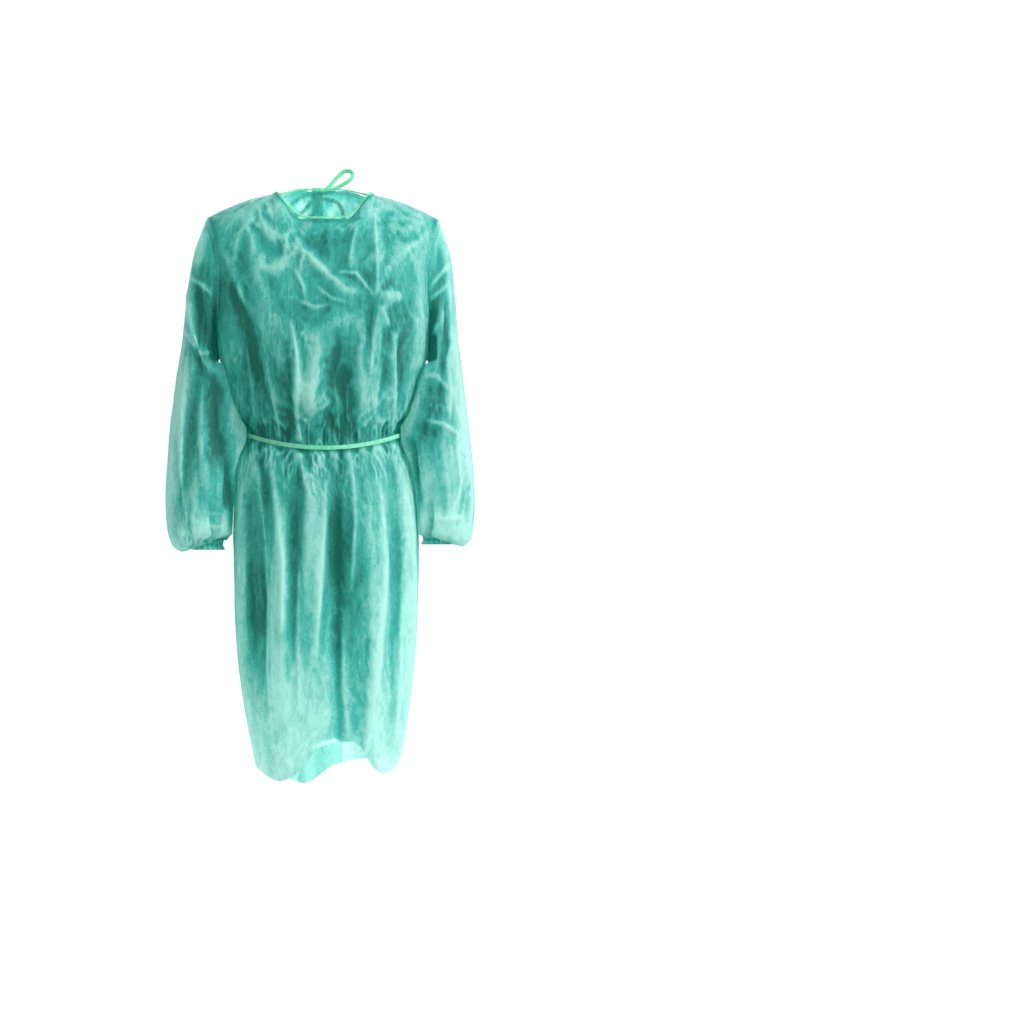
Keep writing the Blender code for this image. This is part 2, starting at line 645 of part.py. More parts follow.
def part_at_armhole(panels, sleeve, sleeve_normals, hand, rows):
    """Moves the body's armhole edge and the sleeve's first ring apart by the seam gap, and gives both one direction.

    panels holds (grid, normals, edge column, side) for the front and the back. The first ring runs down the front's
    edge and back up the back's, and both panels share its top and its underarm point.
    """
    front, back = panels
    pit = len(rows) - 1
    held = [[(front, row)] for row in rows] + [[(back, row)] for row in rows[-2:0:-1]]
    held[0].append((back, rows[0]))
    held[pit].append((back, rows[pit]))
    loop = sleeve[0].copy()
    tangents = unit(np.roll(loop, -1, axis=0) - np.roll(loop, 1, axis=0))
    for k, owners in enumerate(held):
        (_, normals, edge, _), row = owners[0]
        shared = unit(normals[row, edge] + sleeve_normals[0, k])
        if k in (0, pit):
            shared = flatten_y(shared)
        across = unit(np.cross(tangents[k], shared))
        across *= np.sign(across[0]) * hand * SEAM_GAP / 2
        sleeve[0, k] = loop[k] + across
        sleeve_normals[0, k] = shared
        for (grid, normals, edge, side), row in owners:
            grid[row, edge] = loop[k] - across
            normals[row, edge] = shared
            if k in (0, pit):
                grid[row, edge, 1] = side * SEAM_GAP / 2


def part_at_plane(grid, normals, side, armpit):
    """Keeps a panel half the seam gap off the plane Y = 0 at its shoulder and side seams."""
    top = np.abs(grid[0, :, 0]) >= NECK_HALF_WIDTH - NEAR
    normals[0, top] = flatten_y(normals[0, top])
    grid[0, top, 1] = side * SEAM_GAP / 2
    for edge in (0, -1):
        if abs(grid[armpit, edge, 1]) > NEAR:
            continue
        normals[armpit:, edge] = flatten_y(normals[armpit:, edge])
        grid[armpit:, edge, 1] = side * SEAM_GAP / 2


def add_object(name, points, faces, look):
    """A named mesh object with its material."""
    mesh = bpy.data.meshes.new(name)
    mesh.from_pydata([tuple(p) for p in points], [], faces)
    mesh.update()
    mesh.shade_smooth()
    mesh.set_sharp_from_angle(angle=math.radians(50))
    mesh.materials.append(material(*look))
    node = bpy.data.objects.new(name, mesh)
    bpy.context.scene.collection.objects.link(node)
    return node


def material(name, colour, roughness):
    """A Principled material, made once."""
    made = bpy.data.materials.get(name)
    if made is None:
        made = bpy.data.materials.new(name)
        made.use_nodes = True
        shader = made.node_tree.nodes["Principled BSDF"]
        shader.inputs["Base Color"].default_value = (*colour, 1)
        shader.inputs["Roughness"].default_value = roughness
        shader.inputs["Metallic"].default_value = 0.0
    return made


def wall_faces(rows, columns, round_it):
    """The faces of a closed wall between an outer grid and an inner one with the same points."""
    inner = rows * columns
    faces = []
    wide = columns if round_it else columns - 1
    for i in range(rows - 1):
        for j in range(wide):
            a, b = i * columns + j, i * columns + (j + 1) % columns
            c, d = b + columns, a + columns
            faces += [(a, d, c, b), (a + inner, b + inner, c + inner, d + inner)]
    for j in range(wide):
        a, b = j, (j + 1) % columns
        foot = (rows - 1) * columns
        faces += [(a, b, b + inner, a + inner), (a + foot, a + foot + inner, b + foot + inner, b + foot)]
    if not round_it:
        for i in range(rows - 1):
            a, d = i * columns, (i + 1) * columns
            b, c = a + columns - 1, d + columns - 1
            faces += [(a, a + inner, d + inner, d), (b, c, c + inner, b + inner)]
    return faces


def wall(name, grid, normals, look, thickness=WALL, round_it=False, flip=False):
    """A cloth wall: the grid's points outside, and the same points moved in by the thickness."""
    rows, columns = grid.shape[:2]
    outer, inner = grid.reshape(-1, 3), (grid - normals * thickness).reshape(-1, 3)
    faces = wall_faces(rows, columns, round_it)
    if flip:
        faces = [face[::-1] for face in faces]
    return add_object(name, np.concatenate([outer, inner]), faces, look)


def strip(name, points, faces_out, look, width=STRIP_WIDTH, thickness=STRIP_WALL):
    """A flat strip along a line of points, with its broad side facing out."""
    points, faces_out = np.array(points), np.array(faces_out)
    along = unit(np.gradient(points, axis=0))
    across = unit(np.cross(along, faces_out))
    out = unit(np.cross(across, along))
    corners = []
    for side, level in ((1, 0.5), (-1, 0.5), (-1, -0.5), (1, -0.5)):
        corners.append(points + across * side * width / 2 + out * level * thickness)
    corners = np.stack(corners, axis=1)
    count = len(points)
    faces = []
    for i in range(count - 1):
        for j in range(4):
            a, b = 4 * i + j, 4 * i + (j + 1) % 4
            faces.append((a, a + 4, b + 4, b))
    foot = 4 * (count - 1)
    faces += [(0, 1, 2, 3), (foot + 3, foot + 2, foot + 1, foot)]
    return add_object(name, corners.reshape(-1, 3), faces, look)


def even_path(points, step=PATH_STEP):
    """Points about step apart along a smooth curve through the given ones."""
    points = np.array(points, float)
    run = np.concatenate([[0], np.cumsum(np.linalg.norm(np.diff(points, axis=0), axis=1))])
    count = max(int(round(run[-1] / step)), 4)
    at = np.linspace(0, run[-1], count + 1)
    return np.stack([smooth(at, run, points[:, k]) for k in range(3)], axis=1)


def cloth_y(cloth, x, z):
    """y of the back's outer cloth at a place, the farthest out over a strip's width."""
    z = min(z, TIE_TOP_Z)
    found = []
    for beside in (-STRIP_WIDTH / 2, 0.0, STRIP_WIDTH / 2):
        for tree in cloth:
            hit, _, _, _ = tree.ray_cast(Vector((x + beside, 1.0, z)), Vector((0, -1, 0)))
            if hit:
                found.append(hit.y)
    return max(found)


def node_tree(node):
    """A node's faces, for finding where its surface lies."""
    faces = [tuple(face.vertices) for face in node.data.polygons]
    return BVHTree.FromPolygons([v.co for v in node.data.vertices], faces)


def on_cloth(cloth, path):
    """A table of places as an even line of points, standing off the cloth below it by each row's lift."""
    points = even_path(path)
    lifts = points[:, 2].copy()
    points[:, 2] = points[:, 1]
    ys = np.array([cloth_y(cloth, x, z) for x, _, z in points])
    padded = np.pad(ys, 1, mode="edge")
    ys = np.maximum(np.maximum(padded[:-2], padded[1:-1]), padded[2:])
    padded = np.pad(ys, 1, mode="edge")
    points[:, 1] = np.maximum(ys, (padded[:-2] + ys + padded[2:]) / 3) + lifts
    return points


def step_to_touch(samples, direction, trees, reach):
    """How far the samples can go in a direction until one of them is a seam gap from a surface."""
    for step in np.arange(0.0, reach, TOUCH_STEP):
        for sample in samples:
            at = Vector(sample + direction * step)
            if any(tree.find_nearest(at)[3] < TOUCH_GAP for tree in trees):
                return step
    return reach


def seat_end(points, facing, tree, first):
    """Moves one end of a strip's line so that the strip stops a seam gap short of a knot."""
    end, before = (0, 1) if first else (-1, -2)
    along = unit(points[end] - points[before])
    across = unit(np.cross(along, facing))
    out = np.cross(across, along)
    start = points[end] - along * SEAT_BACK
    samples = []
    for wide in (-0.5, -0.25, 0.0, 0.25, 0.5):
        for thick in (-0.5, 0.5):
            samples.append(start + across * wide * STRIP_WIDTH + out * thick * STRIP_WALL)
    points[end] = start + along * step_to_touch(samples, along, [tree], SEAT_BACK + SEAT_ON)


def tie(name, cloth, path, knot_node, both_ends):
    """A free tail of a tie strip, or a loop that comes back to its knot."""
    points = on_cloth(cloth, path)
    facing = np.array(TIE_FACING)
    tree = node_tree(knot_node)
    seat_end(points, facing, tree, True)
    if both_ends:
        seat_end(points, facing, tree, False)
    return strip(name, points, np.tile(facing, (len(points), 1)), BINDING)


def knot(name, cloth, place, size):
    """A tight knot: a rounded lump with a waist where the strip wraps it, lying against the cloth."""
    x, z = place
    start = np.array([x, cloth_y(cloth, x, z) + KNOT_START, z])
    points = [start + (0, 0, size[2])]
    for i in range(1, KNOT_RINGS):
        tilt = math.pi * i / KNOT_RINGS
        for j in range(KNOT_SEGMENTS):
            turn = 2 * math.pi * j / KNOT_SEGMENTS
            waist = 1 - KNOT_WAIST * math.cos(2 * turn) * math.sin(tilt)
            level = np.array([math.cos(turn), math.sin(turn), 0.0]) * math.sin(tilt)
            direction = level + (0.0, 0.0, math.cos(tilt))
            points.append(start + direction * size * waist)
    points.append(start - (0, 0, size[2]))
    towards = np.array([0.0, -1.0, 0.0])
    points = np.array(points) + towards * step_to_touch(points, towards, cloth, KNOT_START)
    faces = []
    for j in range(KNOT_SEGMENTS):
        k = (j + 1) % KNOT_SEGMENTS
        faces.append((0, 1 + j, 1 + k))
        for i in range(KNOT_RINGS - 2):
            a = 1 + i * KNOT_SEGMENTS
            faces.append((a + j, a + KNOT_SEGMENTS + j, a + KNOT_SEGMENTS + k, a + k))
        foot = 1 + (KNOT_RINGS - 2) * KNOT_SEGMENTS
        faces.append((foot + j, len(points) - 1, foot + k))
    return add_object(name, points, faces, BINDING)


def binding(front, left, right):
    """The narrow strip that closes the neckline, from one back edge round the front to the other.

    Each panel is its grid and its normals. The strip passes each corner of the neckline once.
    """
    points, outs = [], []
    for (grid, normals), order, corners in ((left, 1, True), (front, -1, False), (right, 1, True)):
        limit = NECK_HALF_WIDTH + (NEAR if corners else -NEAR)
        inside = np.flatnonzero(np.abs(grid[0, :, 0]) < limit)[::order]
        points.append(grid[0, inside])
        outs.append(normals[0, inside])
    points, outs = np.concatenate(points), np.concatenate(outs)
    corner = np.abs(points[:, 0]) > NECK_HALF_WIDTH - NEAR
    points[corner, 1] = 0.0
    along = unit(np.gradient(points, axis=0))
    ups = unit(np.cross(along, outs))
    rows = []
    for high, out in BINDING_PROFILE:
        rows.append(points + ups * (BINDING_GAP + high * BINDING_HEIGHT) + outs * out)
    rows = np.stack(rows, axis=1)
    count, ring = len(points), len(BINDING_PROFILE)
    faces = []
    for i in range(count - 1):
        for j in range(ring):
            a, b = ring * i + j, ring * i + (j + 1) % ring
            faces.append((a, b, b + ring, a + ring))
    faces += [tuple(range(ring))[::-1], tuple(ring * (count - 1) + j for j in range(ring))]
    return add_object("neck_binding", rows.reshape(-1, 3), faces, BINDING)


def belt_line():
    """The belt's path and its outward directions, from the knot's left side round the front to its right side."""
    route = []
    for share in np.linspace(share_at_x(WAIST_Z, BELT_LEFT_END_X, BACK), 1, BELT_BACK_STEPS + 1):
        route.append((share, BACK))
    for share in np.linspace(1, -1, FRONT_COLUMNS + 1)[1:]:
        route.append((share, FRONT))
    for share in np.linspace(-1, share_at_x(WAIST_Z, BELT_RIGHT_END_X, BACK), BELT_BACK_STEPS + 1)[1:]:
        route.append((share, BACK))
    points, outs = [], []
    for share, side in route:
        z = waist_z(share, side)
        place, out, _ = section_point(z, share, side)
        off = BELT_CLEARANCE + STRIP_WALL / 2 + belt_relief(z, share, side)
        points.append((*(place + out * off), z))
        outs.append((*out, 0.0))
    return points, outs


def belt_relief(z, share, side):
    """How far the cloth between its rows above and below the belt stands outside the section at the belt's height."""
    middle, out, _ = section_point(z, share, side)
    above = float(np.dot(section_point(z + BELT_GROOVE, share, side)[0] - middle, out))
    below = float(np.dot(section_point(z - BELT_GROOVE, share, side)[0] - middle, out))
    return (above + below) / 2 + abs(above - below) / 2 * STRIP_WIDTH / 2 / BELT_GROOVE


def cuff(name, hand):
    """The gathered casing that the elastic pulls in, below the sleeve's last ring."""
    count = CUFF_WAVES * CUFF_POINTS_PER_WAVE
    rows = []
    for down in CUFF_ROWS:
        ring = []
        for k in range(count):
            turn = 2 * math.pi * k / count
            wave = (CUFF_WAVE_TOP + CUFF_WAVE_GROWTH * down) * math.sin(CUFF_WAVES * turn)
            radius = CUFF_RADIUS + wave + CUFF_FLARE * down**2 - CUFF_PINCH * math.sin(math.pi * down)
            x = hand * (CUFF_MIDDLE_X + radius * math.cos(turn))
            z = CUFF_TOP_Z - SLEEVE_LOWER[hand] - SEAM_GAP - CUFF_HEIGHT * down
            ring.append((x, CUFF_MIDDLE_Y - radius * math.sin(turn), z))
        rows.append(ring)
    grid = np.array(rows)
    normals = grid_normals(grid, round_it=True) * -hand
    normals[..., 2] = 0
    return wall(name, grid, unit(normals), CLOTH, round_it=True, flip=hand == LEFT)


def sew_sleeve(hand, name, front, back, edge, rows):
    """A sleeve and its cuff, with the body's edges at the armhole moved a seam gap away from it."""
    front_grid, back_grid = front[0], back[0]
    armhole = np.concatenate([front_grid[rows, edge], back_grid[rows[-2:0:-1], edge]])
    armhole[[0, len(rows) - 1], 1] = 0.0
    angles = [180 * row / (len(rows) - 1) for row in rows]
    angles += [360 - angle for angle in angles[-2:0:-1]]
    sleeve = sleeve_grid(armhole, angles, hand)
    normals = grid_normals(sleeve, round_it=True) * -hand
    part_at_armhole(((*front, edge, FRONT), (*back, edge, BACK)), sleeve, normals, hand, rows)
    wall(f"sleeve_{name}", sleeve, normals, CLOTH, round_it=True, flip=hand == LEFT)
    cuff(f"cuff_{name}", hand)


def build():
    """The whole gown."""
    for leftover in list(bpy.data.objects):
        bpy.data.objects.remove(leftover)
    front = panel_grid(FRONT)
    left = panel_grid(BACK, LEFT)
    right = panel_grid(BACK, RIGHT)
    right = tuck_under(right, -grid_normals(right))
    front = (front, grid_normals(front))
    left = (left, -grid_normals(left))
    right = (right, -grid_normals(right))
    rows = list(range(SHOULDER_ROWS + ARMHOLE_ROWS + 1))
    for panel, side in ((front, FRONT), (left, BACK), (right, BACK)):
        part_at_plane(*panel, side, rows[-1])
    sew_sleeve(LEFT, "left", front, left, -1, rows)
    sew_sleeve(RIGHT, "right", front, right, 0, rows)
    wall("front", *front, CLOTH)
    cloth = [
        node_tree(wall("back_left", *left, CLOTH, flip=True)),
        node_tree(wall("back_right", *right, CLOTH, flip=True)),
    ]
    neck = node_tree(binding(front, left, right))
    belt_knot = knot("belt_knot", cloth, BELT_KNOT, BELT_KNOT_SIZE)
    neck_knot = knot("neck_knot", [*cloth, neck], NECK_KNOT, NECK_KNOT_SIZE)
    points, facings = (np.array(row) for row in belt_line())
    seat_end(points, facings[0], node_tree(belt_knot), True)
    seat_end(points, facings[-1], node_tree(belt_knot), False)
    strip("belt", points, facings, BINDING)
    tie("belt_loop_left", cloth, BELT_LOOP_LEFT, belt_knot, True)
    tie("belt_loop_right", cloth, BELT_LOOP_RIGHT, belt_knot, True)
    tie("belt_tail_left", cloth, BELT_TAIL_LEFT, belt_knot, False)
    tie("belt_tail_right", cloth, BELT_TAIL_RIGHT, belt_knot, False)
    tie("neck_loop_left", cloth, NECK_LOOP_LEFT, neck_knot, True)
    tie("neck_loop_right", cloth, NECK_LOOP_RIGHT, neck_knot, True)
    tie("neck_tail_left", cloth, NECK_TAIL_LEFT, neck_knot, False)
    tie("neck_tail_right", cloth, NECK_TAIL_RIGHT, neck_knot, False)


build()
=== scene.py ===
import math

import bmesh
import bpy
import numpy as np
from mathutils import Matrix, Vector


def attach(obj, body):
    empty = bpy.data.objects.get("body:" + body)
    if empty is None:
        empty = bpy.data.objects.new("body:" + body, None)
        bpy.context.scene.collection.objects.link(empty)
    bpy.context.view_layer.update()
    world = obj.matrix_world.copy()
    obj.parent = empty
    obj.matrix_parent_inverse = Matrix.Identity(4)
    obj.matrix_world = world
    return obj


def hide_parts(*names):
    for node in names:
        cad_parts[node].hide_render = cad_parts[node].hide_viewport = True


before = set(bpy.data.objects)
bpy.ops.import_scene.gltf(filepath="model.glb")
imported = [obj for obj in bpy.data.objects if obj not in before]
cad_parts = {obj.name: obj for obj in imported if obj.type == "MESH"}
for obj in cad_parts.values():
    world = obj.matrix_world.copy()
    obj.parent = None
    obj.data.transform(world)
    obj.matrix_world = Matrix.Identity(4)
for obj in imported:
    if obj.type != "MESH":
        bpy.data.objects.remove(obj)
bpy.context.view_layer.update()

print("frame loaded")


# grids: the outer skin of each cloth solid, read as rows and columns of points

rimLength = 0.0019   # an edge through a wall is shorter than this, and every other one is longer


def wallSkins(nodeName):
    # the two skins of a wall, parted at the short edges of its rim
    mesh = bmesh.new()
    mesh.from_mesh(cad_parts[nodeName].data)
    bmesh.ops.remove_doubles(mesh, verts=mesh.verts, dist=1e-6)
    rim = {f for e in mesh.edges if e.calc_length() < rimLength for f in e.link_faces}
    bmesh.ops.delete(mesh, geom=list(rim), context="FACES")
    mesh.faces.ensure_lookup_table()
    skins, seen = [], set()
    for start in mesh.faces:
        if start in seen:
            continue
        seen.add(start)
        stack, skin = [start], []
        while stack:
            face = stack.pop()
            skin.append(face)
            for edge in face.edges:
                for other in edge.link_faces:
                    if other not in seen:
                        seen.add(other)
                        stack.append(other)
        skins.append(skin)
    return mesh, skins


def outerSkin(nodeName):
    mesh, skins = wallSkins(nodeName)
    skins.sort(key=lambda skin: -outwardness(skin, nodeName))
    points, triangles, index = [], [], {}
    for face in skins[0]:
        corner = []
        for v in face.verts:
            if v not in index:
                index[v] = len(points)
                points.append(tuple(v.co))
            corner.append(index[v])
        triangles.append(corner)
    mesh.free()
    return np.array(points), triangles


def outwardness(skin, nodeName):
    # how far the faces of a skin look away from the line that the piece is wrapped round
    total = 0.0
    for face in skin:
        centre = face.calc_center_median()
        total += face.calc_area() * face.normal.dot(centre - axisPoint(nodeName, centre))
    return total


# the line down the middle of each sleeve, from the armhole to the cuff
sleeveLine = {"top": -0.12, "length": 0.56, "x": 0.205, "outwards": 0.016, "forwards": 0.010}


def axisPoint(nodeName, point):
    z = min(point.z, sleeveLine["top"])
    if not nodeName.startswith(("sleeve", "cuff")):
        return Vector((0, 0, z))
    side = 1 if "left" in nodeName else -1
    down = min(max((sleeveLine["top"] - point.z) / sleeveLine["length"], 0), 1)
    return Vector((side * (sleeveLine["x"] + sleeveLine["outwards"] * down),
                   -sleeveLine["forwards"] * down, z))


def neighboursByEdge(triangles):
    thirds = {}
    for a, b, c in triangles:
        for p, q, r in ((a, b, c), (b, c, a), (c, a, b)):
            thirds.setdefault((min(p, q), max(p, q)), []).append(r)
    return thirds


def boundaryLoops(triangles, thirds):
    after = {}
    for a, b, c in triangles:
        for p, q in ((a, b), (b, c), (c, a)):
            if len(thirds[(min(p, q), max(p, q))]) == 1:
                after[p] = q
    loops = []
    while after:
        start = next(iter(after))
        loop = [start]
        while after[loop[-1]] != start:
            loop.append(after[loop[-1]])
        for v in loop:
            after.pop(v)
        loops.append(loop)
    return loops


def cornerAngles(points, triangles):
    total = np.zeros(len(points))
    for tri in triangles:
        for k in range(3):
            a, b, c = points[tri[k]], points[tri[k - 1]], points[tri[k - 2]]
            u, v = b - a, c - a
            cosine = u @ v / (np.linalg.norm(u) * np.linalg.norm(v))
            total[tri[k]] += math.acos(max(-1, min(1, cosine)))
    return total


def third(thirds, a, b, without):
    # the point that makes a triangle with an edge, apart from those already used
    for r in thirds.get((min(a, b), max(a, b)), ()):
        if r not in without:
            return r
    return None


def nextRow(thirds, row, first, used):
    # the row below a row of points, met triangle by triangle from its first point
    made = [first]
    for j in range(len(row) - 1):
        tip = third(thirds, row[j], row[j + 1], used)
        if tip == made[-1]:
            tip = third(thirds, row[j + 1], made[-1], used | {row[j]})
        if tip is None:
            return None
        made.append(tip)
    return made


def sheetGrid(nodeName, across, down):
    # an open panel or strip, from the corners where its outline turns most sharply
    points, triangles = outerSkin(nodeName)
    thirds = neighboursByEdge(triangles)
    loop = boundaryLoops(triangles, thirds)[0]
    count = len(loop)
    angles = cornerAngles(points, triangles)
    stops = (0, across, across + down, 2 * across + down)
    best = min(range(count), key=lambda s: sum(angles[loop[(s + k) % count]] for k in stops))
    loop = loop[best:] + loop[:best]
    if points[loop[0]][2] < points[loop[across + down]][2]:  # the first row is the top one
        half = across + down
        loop = loop[half:] + loop[:half]
    rows = [loop[:across + 1]]
    side = [loop[0]] + loop[:2 * across + down - 1:-1]
    used = set(rows[0])
    for i in range(1, down + 1):
        row = nextRow(thirds, rows[-1], side[i], used)
        used.update(row)
        rows.append(row)
    grid = points[np.array(rows)]
    return grid[:, ::-1] if grid[0, 0, 0] > grid[0, -1, 0] else grid


def ringGrid(nodeName, around, down):
    # a tube, ring by ring from its upper end
    points, triangles = outerSkin(nodeName)
    thirds = neighboursByEdge(triangles)
    ring = max(boundaryLoops(triangles, thirds), key=lambda loop: points[loop, 2].mean())
    rows, used = [ring], set(ring)
    for i in range(down):
        last = rows[-1]
        start = third(thirds, last[0], last[1], used)
        choices = []
        for first in {start, third(thirds, last[0], start, used | {last[1]})} - {None}:
            row = nextRow(thirds, last + [last[0]], first, used)
            if row and row[0] == row[-1] and len(set(row)) == around:
                span = sum(np.linalg.norm(points[p] - points[q]) for p, q in zip(row, last))
                choices.append((span, row[:-1]))
        row = min(choices)[1]
        used.update(row)
        rows.append(row)
    return points[np.array(rows)]


# sampling: a smooth surface through a grid of points, at any fineness

def cubicThrough(values, knots, places):
    # a smooth curve through values that stand at uneven knots
    step = np.diff(knots)
    shape = (-1,) + (1,) * (values.ndim - 1)
    slope = np.diff(values, axis=0) / step.reshape(shape)
    inner = (slope[:-1] * step[1:].reshape(shape) + slope[1:] * step[:-1].reshape(shape))
    inner = inner / (step[:-1] + step[1:]).reshape(shape)
    tangent = np.concatenate([slope[:1], inner, slope[-1:]])
    at = np.clip(np.searchsorted(knots, places, side="right") - 1, 0, len(step) - 1)
    width = step[at].reshape(shape)
    t = ((places - knots[at]) / step[at]).reshape(shape)
    return (values[at] * (1 + 2 * t) * (1 - t) ** 2 + values[at + 1] * t * t * (3 - 2 * t)
            + width * (tangent[at] * t * (1 - t) ** 2 + tangent[at + 1] * t * t * (t - 1)))


def knotsAlong(grid, axis):
    gaps = np.linalg.norm(np.diff(grid, axis=axis), axis=2)
    return np.concatenate([[0.0], np.cumsum(gaps.mean(axis=1 - axis))])


def finer(grid, across, down, closed=False, rowKnots=None):
    # a closed grid is wrapped over itself, so that it is smooth at the join
    if closed:
        grid = np.concatenate([grid[:, -3:], grid, grid[:, :4]], axis=1)
    rows = knotsAlong(grid, 0) if rowKnots is None else rowKnots
    columns = knotsAlong(grid, 1)
    start, end = (columns[3], columns[-4]) if closed else (columns[0], columns[-1])
    places = np.linspace(start, end, across + 1)
    dense = cubicThrough(grid, rows, np.linspace(rows[0], rows[-1], down + 1))
    dense = cubicThrough(np.swapaxes(dense, 0, 1), columns, places)
    dense = np.swapaxes(dense, 0, 1)
    return dense[:, :-1] if closed else dense


def gridNormals(grid, closed=False):
    if closed:
        side = np.roll(grid, -1, axis=1) - np.roll(grid, 1, axis=1)
    else:
        side = np.gradient(grid, axis=1)
    normal = np.cross(side, np.gradient(grid, axis=0))
    normal /= np.maximum(np.linalg.norm(normal, axis=2, keepdims=True), 1e-12)
    return normal


def outwards(grid, nodeName, closed=False):
    normal = gridNormals(grid, closed)
    middle = np.array([tuple(axisPoint(nodeName, Vector(p))) for p in grid.reshape(-1, 3)])
    away = ((grid.reshape(-1, 3) - middle) * normal.reshape(-1, 3)).sum()
    return normal if away > 0 else -normal


def smoothStep(x, low, high):
    t = np.clip((x - low) / (high - low), 0, 1)
    return t * t * (3 - 2 * t)


def valueNoise(points, seed):
    # smooth noise from -1 to 1 at points given in cells
    base = np.floor(points).astype(np.int64)
    part = points - base
    part = part * part * (3 - 2 * part)
    total = np.zeros(points.shape[:-1])
    for corner in range(8):
        offset = np.array([corner & 1, corner >> 1 & 1, corner >> 2 & 1])
        cell = base + offset
        code = cell[..., 0] * 73856093 ^ cell[..., 1] * 19349663 ^ cell[..., 2] * 83492791
        code = code + seed * 7919
        code = (code ^ (code >> 13)) * 1274126177 & 0x7fffffff
        value = (code % 10007) / 5003.0 - 1
        weight = np.prod(np.where(offset, part, 1 - part), axis=-1)
        total += weight * value
    return total


# creases read off the two pictures, in pixels of the photo's frame

photo = {
    "pixel": 0.00195,        # metres of the gown for one pixel
    "frontMiddle": 323.5,    # column of the gown's middle in the front picture
    "backMiddle": 706.5,     # and in the back picture
    "shoulderRow": 196.0,    # row of the shoulder line
    "distance": 4.715,       # from the camera to the gown's middle
    "cameraZ": -0.616,
}


def seenFrom(points, facing):
    # where a point shows in its picture, in pixels; facing -1 is the front picture and 1 the back one
    scale = photo["distance"] / (photo["distance"] - facing * points[..., 1])
    x = points[..., 0] * scale / photo["pixel"]
    z = photo["cameraZ"] + (points[..., 2] - photo["cameraZ"]) * scale
    middle = photo["frontMiddle"] if facing < 0 else photo["backMiddle"]
    return middle - facing * x, photo["shoulderRow"] - z / photo["pixel"]


creaseGain = 1.45    # times the listed heights, and widths
creaseWidth = 0.85


def creaseHeight(points, normals, facing, creases):
    # each crease is (height in mm, width in pixels, sharpness, its points from end to end)
    px, py = seenFrom(points, facing)
    turned = smoothStep(normals[..., 1] * facing, -0.05, 0.45)
    total = np.zeros(px.shape)
    for height, width, sharp, path in creases:
        path = np.array(path, float)
        spans = np.linalg.norm(np.diff(path, axis=0), axis=1)
        whole = spans.sum()
        nearest = np.full(px.shape, 1e9)
        along = np.zeros(px.shape)
        done = 0.0
        for (a, b), span in zip(zip(path[:-1], path[1:]), spans):
            dx, dy = (b - a) / span
            t = np.clip((px - a[0]) * dx + (py - a[1]) * dy, 0, span)
            away = np.hypot(px - a[0] - t * dx, py - a[1] - t * dy)
            closer = away < nearest
            nearest = np.where(closer, away, nearest)
            along = np.where(closer, (done + t) / whole, along)
            done += span
        profile = np.exp(-(nearest / (width * creaseWidth)) ** sharp)
        ends = np.sin(np.pi * np.clip(along * 0.92 + 0.04, 0, 1)) ** 0.6   # it fades at both
        total += height * 0.001 * creaseGain * profile * ends
    return total * turned


